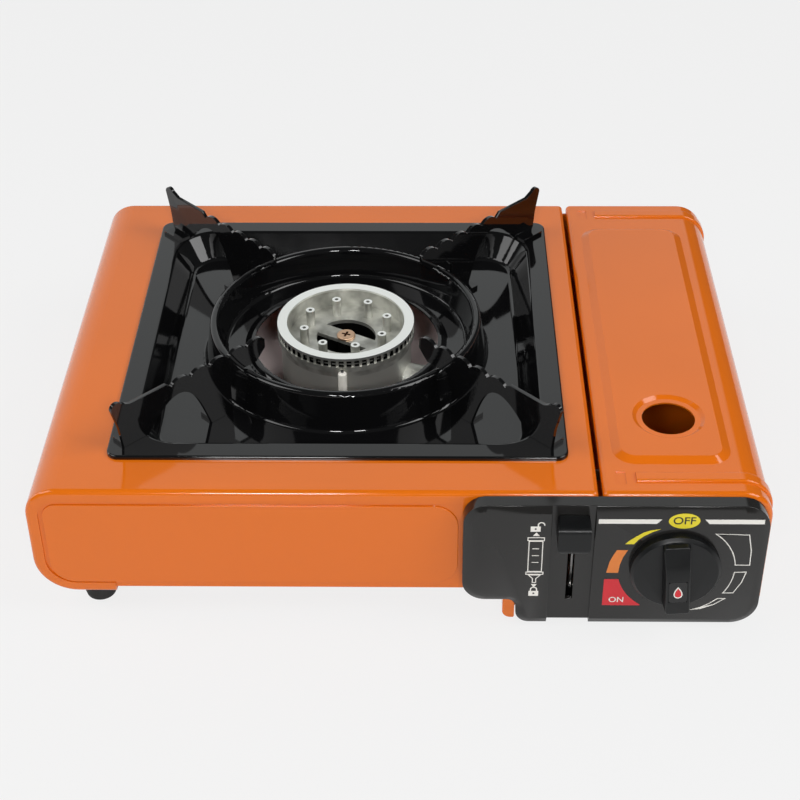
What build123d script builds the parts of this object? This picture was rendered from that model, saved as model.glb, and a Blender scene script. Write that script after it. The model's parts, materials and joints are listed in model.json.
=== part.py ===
from build123d import *
import os
from math import atan, cos, degrees, hypot, pi, radians, sin, sqrt

# Portable gas stove. Millimetres, +Z up, front towards -Y, origin on the table under the middle.

# Case
BODY_WIDTH = 348.0          # left wall to the beads on the lid's right wall
BODY_DEPTH = 266.0          # front rim to rear rim
BODY_TOP = 75.0             # top face above the table
LEFT_BASE = 13.0            # underside of the burner half
TRAY_BASE = 4.0             # underside of the cartridge tray
SHEET = 0.8                 # steel sheet of the case
TOP_CORNER = 15.0           # outside radius along the top of the side walls
LOW_CORNER = 20.0           # outside radius along the foot of the left wall
RIM_BEND = 2.5              # outside radius where a sheet turns into a rim
RIM_WIDTH = 6.0             # inward rim at the front and the rear
WRAP_RETURN = 38.0          # how far the wrap runs in under the left side
SEAM_FLANGE = 4.5           # down-turned edge of the top beside the lid
FLOOR_STEP = 2.4            # burner floor above the wrap's turned-under edge
SHEET_FIT = 0.4             # room round a plate that sits inside another sheet
FIELD_INSET = 8.0           # raised field of the end panels inside the case outline
FIELD_RISE = 0.7            # height of that raised field
FIELD_CORNER = 12.0
VENT_LENGTH = 40.0
VENT_WIDTH = 5.0
VENT_PITCH = 11.0
VENT_COUNT = 5

# Cartridge lid
LID_WIDTH = 81.4            # seam to the outside of the lid
LID_GAP = 2.0               # seam between the top and the lid
LID_BASE = 11.0             # lower edge of the lid's side wall
LID_FLANGE = 4.5            # down-turned left edge
BEAD_RISE = 1.2
BEAD_WIDTH = 7.0
BEAD_FROM_RIM = 12.0        # bead centre line behind the rim
BEAD_START = 16.0           # bead end from the lid's left edge
PLATEAU_WIDTH = 56.0
PLATEAU_LENGTH = 216.0
PLATEAU_FROM_FRONT = 130.0  # middle of the plateau behind the front rim
PLATEAU_FROM_SEAM = 35.5
PLATEAU_RISE = 2.0
PLATEAU_SLOPE = 4.0
PLATEAU_CORNER = 11.0
FINGER_HOLE = 25.6
FINGER_FROM_FRONT = 57.0
FINGER_FROM_SEAM = 37.0
DISH = 35.0
DISH_DEPTH = 1.4
DISH_SLOPE = 2.0
DIMPLE_LENGTH = 9.0
DIMPLE_WIDTH = 4.5
DIMPLE_DEPTH = 0.5
DIMPLE_FROM_EDGE = 9.0

# Lid hinge
HINGE_PIN = 1.5             # pin radius
HINGE_FIT = 0.05            # running room round the pin
KNUCKLE = 3.0               # knuckle radius
KNUCKLE_LENGTH = 16.0
KNUCKLE_GAP = 0.4
LEAF = 1.0                  # leaf sheet
LEAF_HEIGHT = 14.0
HINGE_HEIGHT = 8.0          # pin above the table
HINGE_FROM_END = 45.0       # hinge middle from the rims
TRAY_TO_HINGE = 5.0         # tray wall to the pin's axis

# Cartridge bay
CARTRIDGE = 67.0            # cartridge diameter
CARTRIDGE_ROOM = 0.7        # cartridge to tray floor
AXIS_FROM_SEAM = 35.6       # knob and cartridge axis to the right of the seam
TRAY_LEFT_FROM_SEAM = 43.6
TRAY_CORNER = 8.0
TRAY_SETBACK = 1.8          # tray end walls behind the rims
TRAY_WALL_TOP = 70.0        # top of the tray's end walls
EAR_SETBACK = 2.5           # tray's pressed corner behind the fascia's face
EAR_CORNER = 4.0
EAR_ROOM = 0.5              # that corner to the fascia's edge
TRAY_RIGHT_WALL = 8.0       # height of the tray's right wall
PARTITION_FROM_SEAM = 4.4
FLANGE = 10.0               # width of welded flanges

# Drip pan
PAN_LEFT_MARGIN = 0.1331    # least body top left of the pan, over the burner half's width
PAN_SEAM_MARGIN = 0.04914   # body top between the pan and the seam, over the same width
PAN_FRONT_MARGIN = 24.0
PAN_BACK_MARGIN = 24.0
PAN_STEP = 2.0              # pan rim above the body top
PAN_SHEET = 1.0
PAN_RIM = 11.0              # flat width of the rim
PAN_LEDGE = 5.0             # rim resting on the body top
PAN_CORNER = 6.0
PAN_DEPTH = 13.0            # basin floor below the rim
BASIN_SLOPE = 9.0           # run of the basin wall
BASIN_CORNER = 22.0
BASIN_FLOOR_CORNER = 15.0
RING_ROOT_SHARE = 0.3358    # ring radii over the pan's side, from the basin floor inwards
RING_CREST_SHARE = 0.3211
RING_CREST_WIDTH = 4.0
RING_RISE = 8.0             # crest above the pan rim
LEDGE_SHARE = 0.289
LEDGE_DROP = 8.0            # ledge below the pan rim
LIP_WIDTH = 4.5             # lip round the opening
LIP_RISE = 2.0
OPENING_SHARE = 0.2202      # opening round the burner
RING_BENDS = 2.2

# Pan supports
SUPPORT_SHEET = 2.0
SUPPORT_INNER_SHARE = 0.2523  # inner end over the pan's side
TOOTH_COUNT = 5
TOOTH_RISE = 2.8
SUPPORT_TOP = 22.5          # level top above the pan rim
LEVEL_LENGTH = 21.7         # level part outside the teeth
TIP_RUN = 7.5               # climb from the level part to the tip
TIP_TOP = 26.3
TIP_ROUND = 3.0
TIP_OVERHANG = 1.5          # tip beyond the outer leg
LEG_FROM_CORNER = 10.65     # outer leg inside the pan's square corner
OUTER_LEG_WIDTH = 14.7
LEG_FROM_RING = 4.8         # inner leg outside the ring's root
INNER_LEG_WIDTH = 13.3
ARCH_TOP = 9.0
ARCH_RUN = 9.5              # inner leg's outer edge, from its foot to the arch's top
BLADE_OVER_RING = 1.2       # lower edge over the ring's crest
TAB_WIDTH = 8.0

# Burner
BURNER_TOP = 6.7            # top ring above the body top
AIR_GAP = 0.2604            # burner to the pan's opening, over the opening's radius
RING_WIDTH = 5.0
RING_THICK = 1.5
SLOT_COUNT = 55
SLOT_SHARE = 0.62           # slot over the pitch
SLOT_HEIGHT = 3.8
SLOT_RECESS = 0.7
RING_FLANGE = 2.7
CUP_STEP = 1.5              # cup inside the ring
CUP_WALL = 1.1
GALLERY = 1.2               # gas gap behind the slots
BOWL_DEPTH = 10.0
BOWL_FLOOR = 2.0
THROAT_SHARE = 0.4366       # middle opening over the ring's radius
POST_COUNT = 8
POST_SHARE = 0.62           # post circle over the ring's radius
POST_OUT = 2.3
POST_HOLE = 1.0
POST_TURN = 15.0            # first post's angle
POST_DROP = 0.8
BRIDGE_WIDTH = 8.6
BRIDGE_ANGLE = -30.0        # bridge, from +X
BURNER_SCREW = 2.0
SCREW_HEAD = 4.8
SCREW_HEAD_HEIGHT = 1.4
SCREW_FIT = 0.05
BASE_HEIGHT = 28.5
BASE_WALL = 2.5
TUBE_ANGLE = -18.0          # mixing tube, from +X
TUBE_OUT = 8.0
TUBE_IN = 6.2
TUBE_DROP = 29.0            # tube axis below the burner top
NOZZLE_TO_PARTITION = 11.2
FLARE_OUT = 10.5
FLARE_LENGTH = 9.0
NOZZLE_GAP = 3.0
NOZZLE = 4.0
NOZZLE_LENGTH = 11.0
NOZZLE_TIP = 3.0
BRACKET = 1.5               # steel of the inner brackets
BRACKET_WIDTH = 40.0
BRACKET_DEPTH = 28.0
SHIELD_SHARE = 0.624        # heat shield over the pan's side
SHIELD_RISE = 5.2
SMALL_SCREW = 1.5
SMALL_HEAD = 3.0
SMALL_HEAD_HEIGHT = 1.8

# Electrode and lead
ELECTRODE_ANGLE = -90.5
ELECTRODE_GAP = 2.5         # electrode's axis to the burner's ring
CERAMIC = 2.3
CERAMIC_TOP = 6.4           # below the burner top
CERAMIC_LENGTH = 27.1
PIN = 0.8
PIN_ABOVE = 1.0
PIN_BELOW = 4.0
CLAMP_WIDTH = 9.0
CLAMP_DROP = 29.0
LEAD = 1.25
LEAD_HEIGHT = 31.5
LEAD_BEND = 9.0
LEAD_CROSSING = 70.0        # lead through the partition, behind the front rim
LEAD_TO_PARTITION = 2.0

# Control panel
FASCIA_GAP = 0.4            # fascia to the rims
FASCIA_DEPTH = 8.6
FASCIA_STRAIGHT = 5.0       # square part of its edge
FASCIA_BEVEL = 1.6          # bevel run on its face
FASCIA_WALL = 2.2
FASCIA_LEFT_FROM_SEAM = 63.0
FASCIA_RIGHT_INSET = 3.9
FASCIA_TOP_DROP = 1.0       # below the body top
FASCIA_BASE = 2.0           # above the table
FASCIA_STEP_FROM_LEFT = 25.6
FASCIA_STEP_RISE = 14.3
FASCIA_CORNER = 13.0
FASCIA_TOP_CORNER = 11.0
FASCIA_STEP_CORNER = 6.5
FASCIA_STEP_HOLLOW = 4.5     # inside radius of the step
CHANNEL_WIDTH = 20.0
CHANNEL_DEPTH = 2.0
CHANNEL_NOTCH = 2.0
BOSS = 3.4
BOSS_INSET = 13.0
SCREW_DEPTH = 6.0

# Knob, spindle, cam and igniter
KNOB = 21.0                 # disc radius
KNOB_GAP = 0.5
KNOB_DISC = 5.0
KNOB_BEVEL = 1.5
GRIP_HEIGHT = 8.0
GRIP_WIDTH = 13.6
GRIP_TAPER = 7.0
GRIP_ABOVE = 19.0
GRIP_BELOW = 19.0
GRIP_NOSE = 2.5
GRIP_LEAN = 4.0             # grip's angle from upright when off
WINDOW_WIDTH = 8.6
WINDOW_HEIGHT = 12.5
WINDOW_DROP = 4.0           # its middle below the axis
WINDOW_DEPTH = 1.0
WINDOW_FIT = 0.1
SPINDLE = 3.0
SPINDLE_IN_KNOB = 9.0
SPINDLE_FIT = 0.05
SPINDLE_ROOM = 1.6          # room round the spindle in the fascia
CAM_FROM_FRONT = 7.0
CAM_THICK = 5.0
CAM_LOW = 6.5
CAM_LIFT = 4.0
KNOB_TURN = 135.0
CAM_FALL = 25.0             # angle of the cam's falling side
CAM_ROOM = 0.4
IGNITER_SIDE = 9.0
IGNITER_LENGTH = 20.0
IGNITER_ABOVE_TIP = 4.6     # igniter case above the plunger's tip
PLUNGER_SIDE = 5.0
PLUNGER_FIT = 0.3
PLUNGER_INSIDE = 6.0
SPRING_ROOM = 7.0
SPRING_RADIUS = 1.6
SPRING_WIRE = 0.25
SPRING_TURNS = 4

# Regulator
REG_BRACKET_FROM_FRONT = 17.0
REG_BRACKET_WIDTH = 46.0
REG_BRACKET_TOP = 62.0
REG_BODY = 15.0
REG_LENGTH = 28.0
REG_NOSE = 8.0
REG_NOSE_LENGTH = 4.5
REG_BORE_DEPTH = 18.0
CHAMBER = 15.0              # diaphragm cover radius
CHAMBER_NECK = 12.5         # housing radius behind the cover
CHAMBER_REACH = 24.0        # its face from the axis
COVER = 3.0
COVER_SCREW_CIRCLE = 12.0
INLET = 11.0
INLET_LENGTH = 8.0
SOCKET = 4.0                # cartridge socket radius
SOCKET_DEPTH = 6.0
SEAL_THICK = 2.0
SEAL = 5.0                  # seal radius, held behind the socket
SEAL_HOLE = 1.5
GAS_TUBE = 3.0
GAS_TUBE_WALL = 0.7
GAS_TUBE_BEND = 7.0
GAS_DROP = 15.0             # outlet below the axis
GAS_FROM_FRONT = 39.0
GAS_RUN_FROM_SEAM = 10.5
GAS_RISE_AT = 19.0          # where the tube starts to climb, before the nozzle's rear end
OUTLET_REACH = 19.0
OUTLET_SIDE = 10.0
NUT = 5.0

# Cartridge lock
LEVER_FROM_SEAM = 12.5
LEVER_WIDTH = 15.0
LEVER_FRONT = 9.5           # lever ahead of the channel floor
LEVER_BOTTOM = 52.0
LEVER_FRONT_TOP = 67.0
LEVER_BACK_TOP = 68.4
LEVER_ROUND = 4.5           # lower corners, seen from the front
LEVER_TOP_ROUND = 2.0       # upper corners
LEVER_RIDGE = 3.0           # front edges, seen from the side
LEVER_CLEAR = 0.4           # lever to channel floor
LEVER_TRAVEL = 36.0
TONGUE = 1.5                # slider plate
TONGUE_LOW = 53.5
TONGUE_HEIGHT = 12.0
TONGUE_FIT = 0.05
TONGUE_IN_LEVER = 6.0
SLOT_ROOM = 0.9             # slot beside and beyond the tongue
GUIDE_RAIL = 1.5
GUIDE_FIT = 0.3
GUIDE_DEPTH = 8.0
SLIDER_PIN = 1.5
PIN_FROM_FRONT = 22.0
PIN_HEIGHT = 60.0
PIN_FIT = 0.3
SLIDER_BACK = 4.0           # slider behind the pin
CATCH_TRAVEL = 5.0
CATCH_GAP = 0.6
CATCH_EDGE = 3.5
CATCH_ARM_HEIGHT = 6.0
CATCH_FROM_FRONT = 58.0
FORK_IN = 14.0
FORK_OUT = 22.0
FORK_FOOT = 24.0
FOOT_ROOM = 0.3
LOCATOR_FROM_FRONT = 50.0
LOCATOR_HOLE_ROOM = 1.0
KEY_WIDTH = 8.0
KEY_LENGTH = 6.5
KEY_RADIUS = 16.0
KEY_THICK = 2.0

# Feet
FOOT_TOP = 10.0             # radii
FOOT_BASE = 7.0
FOOT_NECK = 4.0
FOOT_BULB = 5.2
FOOT_BULB_HEIGHT = 3.0
LEFT_FOOT_FROM_LEFT = 27.0
LEFT_FOOT_FROM_END = 15.0
RIGHT_FOOT_FROM_RIGHT = 23.0
RIGHT_FOOT_FROM_END = 26.0

# Places worked out from the sizes above
X_LEFT = -BODY_WIDTH / 2
X_RIGHT = BODY_WIDTH / 2
AHEAD = FASCIA_GAP + FASCIA_DEPTH + KNOB_GAP + KNOB_DISC + GRIP_HEIGHT
Y_FRONT = AHEAD - (BODY_DEPTH + AHEAD) / 2
Y_BACK = Y_FRONT + BODY_DEPTH
X_SEAM = X_RIGHT - LID_WIDTH
LID_WALL = X_RIGHT - BEAD_RISE
AXIS_X = X_SEAM + AXIS_FROM_SEAM
AXIS_Z = TRAY_BASE + SHEET + CARTRIDGE_ROOM + CARTRIDGE / 2
HINGE_X = LID_WALL - SHEET - LEAF - KNUCKLE / 2
TRAY_LEFT = X_SEAM - TRAY_LEFT_FROM_SEAM
TRAY_RIGHT = HINGE_X - TRAY_TO_HINGE
TRAY_FRONT = Y_FRONT + TRAY_SETBACK
TRAY_BACK = Y_BACK - TRAY_SETBACK
TRAY_FLOOR = TRAY_BASE + SHEET
TRAY_INSIDE = TRAY_FRONT + SHEET
WRAP_TOP = LEFT_BASE + SHEET
PANEL_BASE = WRAP_TOP + FLOOR_STEP
BASE_LOW = PANEL_BASE + SHEET
BASE_TOP = BASE_LOW + SHEET
PARTITION = X_SEAM - PARTITION_FROM_SEAM
BURNER_HALF = X_SEAM - X_LEFT
PAN_SIDE = min(BURNER_HALF * (1 - PAN_LEFT_MARGIN - PAN_SEAM_MARGIN),
               BODY_DEPTH - PAN_FRONT_MARGIN - PAN_BACK_MARGIN)
PAN_X = X_SEAM - BURNER_HALF * PAN_SEAM_MARGIN - PAN_SIDE / 2
PAN_Y = Y_FRONT + PAN_FRONT_MARGIN + PAN_SIDE / 2
RING_ROOT = PAN_SIDE * RING_ROOT_SHARE
RING_CREST_OUT = PAN_SIDE * RING_CREST_SHARE
RING_CREST_IN = RING_CREST_OUT - RING_CREST_WIDTH
LEDGE_OUT = PAN_SIDE * LEDGE_SHARE
PAN_OPENING = PAN_SIDE * OPENING_SHARE
LIP_ROOT = PAN_OPENING + LIP_WIDTH
SUPPORT_INNER = PAN_SIDE * SUPPORT_INNER_SHARE
OUTER_LEG_OUT = PAN_SIDE / sqrt(2) - LEG_FROM_CORNER
OUTER_LEG_IN = OUTER_LEG_OUT - OUTER_LEG_WIDTH
INNER_LEG_IN = RING_ROOT + LEG_FROM_RING
INNER_LEG_OUT = INNER_LEG_IN + INNER_LEG_WIDTH
TIP_AT = OUTER_LEG_OUT + TIP_OVERHANG
LEVEL_END = TIP_AT - TIP_RUN
TOOTH_PITCH = (LEVEL_END - LEVEL_LENGTH - TOOTH_RISE - SUPPORT_INNER) / TOOTH_COUNT
BLADE_LOW = RING_RISE + BLADE_OVER_RING
RING_OUT = PAN_OPENING * (1 - AIR_GAP)
RING_IN = RING_OUT - RING_WIDTH
SLOT_WIDTH = 2 * pi * RING_OUT / SLOT_COUNT * SLOT_SHARE
CUP_OUT = RING_OUT - CUP_STEP
GALLERY_OUT = CUP_OUT - CUP_WALL
GALLERY_IN = GALLERY_OUT - GALLERY
THROAT = RING_OUT * THROAT_SHARE
POST_CIRCLE = RING_OUT * POST_SHARE
NOZZLE_REAR = (PARTITION - PAN_X - NOZZLE_TO_PARTITION) / cos(radians(TUBE_ANGLE))
TUBE_REACH = NOZZLE_REAR - NOZZLE_GAP - NOZZLE_LENGTH
SHIELD_SIDE = PAN_SIDE * SHIELD_SHARE
ELECTRODE_AT = RING_OUT + ELECTRODE_GAP
PAN_TOP = BODY_TOP + PAN_STEP
BURNER_Z = BODY_TOP + BURNER_TOP
HEAD_BASE = BURNER_Z - BOWL_DEPTH - BOWL_FLOOR
BURNER_BASE = HEAD_BASE - BASE_HEIGHT
TUBE_Z = BURNER_Z - TUBE_DROP
SHIELD_TOP = BASE_TOP + SHIELD_RISE
FASCIA_BACK = Y_FRONT - FASCIA_GAP
FASCIA_FACE = FASCIA_BACK - FASCIA_DEPTH
CHANNEL_FACE = FASCIA_FACE + CHANNEL_DEPTH
FASCIA_LEFT = X_SEAM - FASCIA_LEFT_FROM_SEAM
FASCIA_RIGHT = X_RIGHT - FASCIA_RIGHT_INSET
FASCIA_TOP = BODY_TOP - FASCIA_TOP_DROP
KNOB_BACK = FASCIA_FACE - KNOB_GAP
KNOB_FACE = KNOB_BACK - KNOB_DISC
CAM_FRONT = Y_FRONT + CAM_FROM_FRONT
CAM_MID = CAM_FRONT + CAM_THICK / 2
PLUNGER_TIP = AXIS_Z + CAM_LOW + CAM_ROOM
IGNITER_BASE = PLUNGER_TIP + IGNITER_ABOVE_TIP
REG_BRACKET_Y = Y_FRONT + REG_BRACKET_FROM_FRONT
REG_FRONT = REG_BRACKET_Y + BRACKET
REG_BACK = REG_FRONT + REG_LENGTH
GAS_Y = Y_FRONT + GAS_FROM_FRONT
GAS_Z = AXIS_Z - GAS_DROP
GAS_RUN_X = X_SEAM - GAS_RUN_FROM_SEAM
LEVER_X = X_SEAM - LEVER_FROM_SEAM
SLIDER_LEFT = LEVER_X - TONGUE / 2
SLIDER_RIGHT = LEVER_X + TONGUE / 2
PIN_Y = Y_FRONT + PIN_FROM_FRONT
CATCH_Y = Y_FRONT + CATCH_FROM_FRONT
CATCH_LEFT = SLIDER_RIGHT + CATCH_GAP
LOCATOR_Y = Y_FRONT + LOCATOR_FROM_FRONT
LEAD_X = PARTITION + SHEET + LEAD_TO_PARTITION
LEAD_CROSS_Y = Y_FRONT + LEAD_CROSSING
PAST = 1.0                  # how far a cut runs past the face it opens


def block(x_low, x_high, y_low, y_high, z_low, z_high):
    """Box between two corners."""
    solid = Box(x_high - x_low, y_high - y_low, z_high - z_low, align=(Align.MIN,) * 3)
    return Pos(x_low, y_low, z_low) * solid


def along_x(sketch, x_low, x_high):
    """Sketch drawn in (Y, Z), extruded between two X values."""
    return extrude(Plane.YZ.offset(x_low) * sketch, amount=x_high - x_low)


def along_y(sketch, y_low, y_high, taper=0):
    """Sketch drawn in (X, Z), extruded between two Y values, narrowing towards the front."""
    return extrude(Plane.XZ.offset(-y_high) * sketch, amount=y_high - y_low, taper=taper)


def along_z(sketch, z_low, z_high):
    """Sketch drawn in (X, Y), extruded between two heights."""
    return extrude(Plane.XY.offset(z_low) * sketch, amount=z_high - z_low)


def rod(start, direction, length, radius):
    """Round bar from a point along a direction."""
    place = Plane(origin=start, z_dir=direction)
    return place * Cylinder(radius, length, align=(Align.CENTER, Align.CENTER, Align.MIN))


def cone(start, direction, length, radius, end_radius):
    """Tapered round bar from a point along a direction."""
    place = Plane(origin=start, z_dir=direction)
    return place * Cone(radius, end_radius, length, align=(Align.CENTER, Align.CENTER, Align.MIN))


def outline(corners, radii):
    """Face with rounded corners, one radius for each."""
    return make_face(FilletPolyline(*corners, radius=radii, close=True))


def rectangle(low, high):
    """Counter-clockwise corners of a rectangle."""
    return [low, (high[0], low[1]), high, (low[0], high[1])]


def heading(start, end):
    """Unit vector from one point to another."""
    length = hypot(end[0] - start[0], end[1] - start[1])
    return ((end[0] - start[0]) / length, (end[1] - start[1]) / length)


def mitre(point, before, after, depth):
    """Corner moved to the left of its two edges by a depth."""
    share = 1 + before[0] * after[0] + before[1] * after[1]
    across = (-(before[1] + after[1]) / share, (before[0] + after[0]) / share)
    return (point[0] + depth * across[0], point[1] + depth * across[1])


def inset(corners, depth):
    """Corners of a counter-clockwise outline, moved inwards."""
    count = len(corners)
    edges = [heading(corners[i], corners[(i + 1) % count]) for i in range(count)]
    return [mitre(corners[i], edges[i - 1], edges[i], depth) for i in range(count)]


def shrink(radii, depth):
    """Radii of an outline moved inwards, never under half a sheet."""
    return [max(radius - depth, SHEET / 2) for radius in radii]


def ribbon(points, radii, thickness):
    """Section of a bent sheet: an open path thickened to its left."""
    edges = [heading(a, b) for a, b in zip(points, points[1:])]
    befores = [edges[0]] + edges
    afters = edges + [edges[-1]]
    inner = [mitre(p, a, b, thickness) for p, a, b in zip(points, befores, afters)]
    turns = [a[0] * b[1] - a[1] * b[0] for a, b in zip(edges, edges[1:])]
    sides = [1 if turn > 0 else -1 for turn in turns]
    inner_radii = [radius - side * thickness for radius, side in zip(radii, sides)]
    corners = points + inner[::-1]
    return outline(corners, [0] + radii + [0, 0] + inner_radii[::-1] + [0])


def end_edges(solid):
    """Edges round the front and rear faces."""
    faces = solid.faces().sort_by(Axis.Y)
    return faces[0].edges() + faces[-1].edges()


def rimmed_body(corners, radii, step):
    """Solid of a case outline with rounded front and rear edges, a step inside the outer face."""
    section = outline(inset(corners, step), shrink(radii, step))
    solid = along_y(section, Y_FRONT + step, Y_BACK - step)
    return fillet(end_edges(solid), RIM_BEND - step)


def rim_openings(corners, radii):
    """Cuts that leave only the inward rims at the front and the rear."""
    section = outline(inset(corners, RIM_WIDTH), shrink(radii, RIM_WIDTH))
    front = along_y(section, Y_FRONT - PAST, Y_FRONT + RIM_BEND)
    rear = along_y(section, Y_BACK - RIM_BEND, Y_BACK + PAST)
    return front + rear


CASE_CORNERS = rectangle((X_LEFT, LEFT_BASE), (X_SEAM - LID_GAP / 2, BODY_TOP))
CASE_RADII = [LOW_CORNER, RIM_BEND, RIM_BEND, TOP_CORNER]
LEFT_FEET = [(X_LEFT + LEFT_FOOT_FROM_LEFT, Y_FRONT + LEFT_FOOT_FROM_END),
             (X_LEFT + LEFT_FOOT_FROM_LEFT, Y_BACK - LEFT_FOOT_FROM_END)]
RIGHT_FEET = [(X_RIGHT - RIGHT_FOOT_FROM_RIGHT, Y_FRONT + RIGHT_FOOT_FROM_END),
              (X_RIGHT - RIGHT_FOOT_FROM_RIGHT, Y_BACK - RIGHT_FOOT_FROM_END)]


def foot_holes(places, z_low, z_high):
    """Holes for the necks of the feet."""
    return [rod((x, y, z_low), (0, 0, 1), z_high - z_low, FOOT_NECK) for x, y in places]


def make_body_shell():
    """Top, left wall and turned-under left edge, with the opening for the pan."""
    shell = rimmed_body(CASE_CORNERS, CASE_RADII, 0) - rimmed_body(CASE_CORNERS, CASE_RADII, SHEET)
    shell -= rim_openings(CASE_CORNERS, CASE_RADII)
    right = X_SEAM - LID_GAP / 2
    low = LEFT_BASE - PAST
    ends = (Y_FRONT - PAST, Y_BACK + PAST)
    shell -= block(right - RIM_WIDTH - PAST, right + PAST, *ends, low, BODY_TOP - SEAM_FLANGE)
    shell -= block(X_LEFT + WRAP_RETURN, right, *ends, low, LEFT_BASE + RIM_WIDTH + PAST)
    side = PAN_SIDE - 2 * PAN_LEDGE
    opening = Pos(PAN_X, PAN_Y) * RectangleRounded(side, side, PAN_CORNER)
    shell -= along_z(opening, BODY_TOP - RIM_WIDTH, BODY_TOP + PAST)
    return shell - foot_holes(LEFT_FEET, low, WRAP_TOP + PAST)


def end_panel(front):
    """Plate inside a case rim, with a raised field; drawn at the front or at the rear."""
    step = RIM_BEND + SHEET_FIT
    right = X_SEAM - LID_GAP - RIM_WIDTH
    corners = inset(CASE_CORNERS, step)
    corners = rectangle(corners[0], (right, corners[2][1]))
    radii = shrink(CASE_RADII, step)
    field_right = FASCIA_LEFT - LID_GAP if front else TRAY_LEFT - FLANGE
    field = rectangle((X_LEFT + FIELD_INSET, PANEL_BASE + SHEET + FLOOR_STEP),
                      (field_right, BODY_TOP - FIELD_INSET))
    field_radii = [LOW_CORNER - FIELD_INSET, FIELD_CORNER, FIELD_CORNER, TOP_CORNER - FIELD_INSET]
    face = Y_FRONT + SHEET
    plate = along_y(outline(corners, radii), face, face + SHEET)
    raised = along_y(outline(field, field_radii), face - FIELD_RISE, face)
    raised = fillet(raised.faces().sort_by(Axis.Y)[0].edges(), FIELD_RISE / 2)
    plate += raised
    hollow = outline(inset(field, SHEET), shrink(field_radii, SHEET))
    plate -= along_y(hollow, face - FIELD_RISE + SHEET, face + SHEET + PAST)
    plate -= block(X_LEFT, right + PAST, face - PAST, face + SHEET + PAST, LEFT_BASE - PAST, PANEL_BASE)
    foot = block(X_LEFT + WRAP_RETURN, TRAY_LEFT, face, face + FLANGE, PANEL_BASE, BASE_LOW)
    return plate + foot


def make_front_panel():
    """Front plate, with clearance holes for the fascia's left screw."""
    panel = end_panel(True)
    x, z = FASCIA_BOSSES[0]
    panel -= rod((x, Y_FRONT, z), (0, 1, 0), FLANGE, SMALL_SCREW + SCREW_FIT)
    return panel - tongue_slot(Y_FRONT, Y_FRONT + RIM_BEND)


def make_rear_panel():
    """Rear plate with a row of air slots."""
    panel = end_panel(False).mirror(Plane.XZ.offset(-(Y_FRONT + Y_BACK) / 2))
    middle = (BASE_TOP + BODY_TOP) / 2
    for i in range(VENT_COUNT):
        x = PAN_X + (i - (VENT_COUNT - 1) / 2) * VENT_PITCH
        slot = Pos(x, middle) * SlotOverall(VENT_LENGTH / 2, VENT_WIDTH, rotation=90)
        panel -= along_y(slot, Y_BACK - RIM_WIDTH, Y_BACK + PAST)
    return panel


def make_base_plate():
    """Floor of the burner half, stepped down to the wrap on the left, with air slots."""
    step_x = X_LEFT + WRAP_RETURN - 2 * SHEET
    y_low = Y_FRONT + RIM_BEND
    y_high = Y_BACK - RIM_BEND
    plate = block(step_x, TRAY_LEFT, y_low, y_high, BASE_LOW, BASE_TOP)
    plate += block(step_x, step_x + SHEET, y_low, y_high, WRAP_TOP, BASE_TOP)
    plate += block(X_LEFT + LOW_CORNER, step_x + SHEET, y_low, y_high, WRAP_TOP, WRAP_TOP + SHEET)
    for side in (-1, 1):
        for i in range(VENT_COUNT):
            y = PAN_Y + (i - (VENT_COUNT - 1) / 2) * VENT_PITCH
            x = PAN_X + side * (SHIELD_SIDE / 2 - VENT_LENGTH / 2)
            slot = Pos(x, y) * SlotOverall(VENT_LENGTH / 2, VENT_WIDTH)
            plate -= along_z(slot, BASE_LOW - PAST, BASE_TOP + PAST)
    return plate - foot_holes(LEFT_FEET, LEFT_BASE, BASE_TOP + PAST)


def make_cartridge_tray():
    """Trough under the cartridge, with end walls that carry the fascia and the brackets."""
    corners = rectangle((TRAY_LEFT, TRAY_BASE), (TRAY_RIGHT, TRAY_WALL_TOP))
    radii = [TRAY_CORNER, TRAY_CORNER / 2, SHEET, SHEET]
    tray = along_y(outline(corners, radii), TRAY_FRONT, TRAY_BACK)
    hollow = rectangle((TRAY_LEFT + SHEET, TRAY_FLOOR), (TRAY_RIGHT - SHEET, TRAY_WALL_TOP + FLANGE))
    tray -= along_y(outline(hollow, shrink(radii, SHEET)), TRAY_INSIDE, TRAY_BACK - SHEET)
    flange_top = BASE_TOP + SHEET
    inside = (TRAY_INSIDE, TRAY_BACK - SHEET)
    over = TRAY_WALL_TOP + PAST
    tray -= block(TRAY_LEFT - PAST, TRAY_LEFT + SHEET, *inside, flange_top, over)
    tray -= block(TRAY_RIGHT - SHEET, TRAY_RIGHT + PAST, *inside, TRAY_BASE + TRAY_RIGHT_WALL, over)
    tray += block(TRAY_LEFT - FLANGE, TRAY_LEFT + SHEET, *inside, BASE_TOP, flange_top)
    tray -= tongue_slot(TRAY_FRONT - PAST, TRAY_INSIDE + PAST)
    tray -= rod((AXIS_X, TRAY_FRONT - PAST, AXIS_Z), (0, 1, 0), FLANGE, SPINDLE + SPINDLE_ROOM)
    for x, z in FASCIA_BOSSES[1:]:
        tray -= rod((x, TRAY_FRONT - PAST, z), (0, 1, 0), FLANGE, SMALL_SCREW + SCREW_FIT)
    tray += tray_ear(0, TRAY_FRONT)
    tray -= tray_ear(SHEET, TRAY_INSIDE + PAST)
    return tray - foot_holes(RIGHT_FEET, TRAY_BASE - PAST, TRAY_FLOOR + PAST)


def tray_ear(step, back):
    """Pressed-out lower left corner of the tray's front, beside the fascia's step."""
    high = FASCIA_BASE + FASCIA_STEP_RISE - EAR_ROOM
    right = FASCIA_LEFT + FASCIA_STEP_FROM_LEFT - EAR_ROOM
    corners = rectangle((TRAY_LEFT, TRAY_BASE), (right, high))
    radii = [EAR_CORNER, SHEET, FASCIA_STEP_HOLLOW - EAR_ROOM, SHEET]
    section = outline(inset(corners, step), shrink(radii, step))
    return along_y(section, FASCIA_FACE + EAR_SETBACK + step, back)


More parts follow.
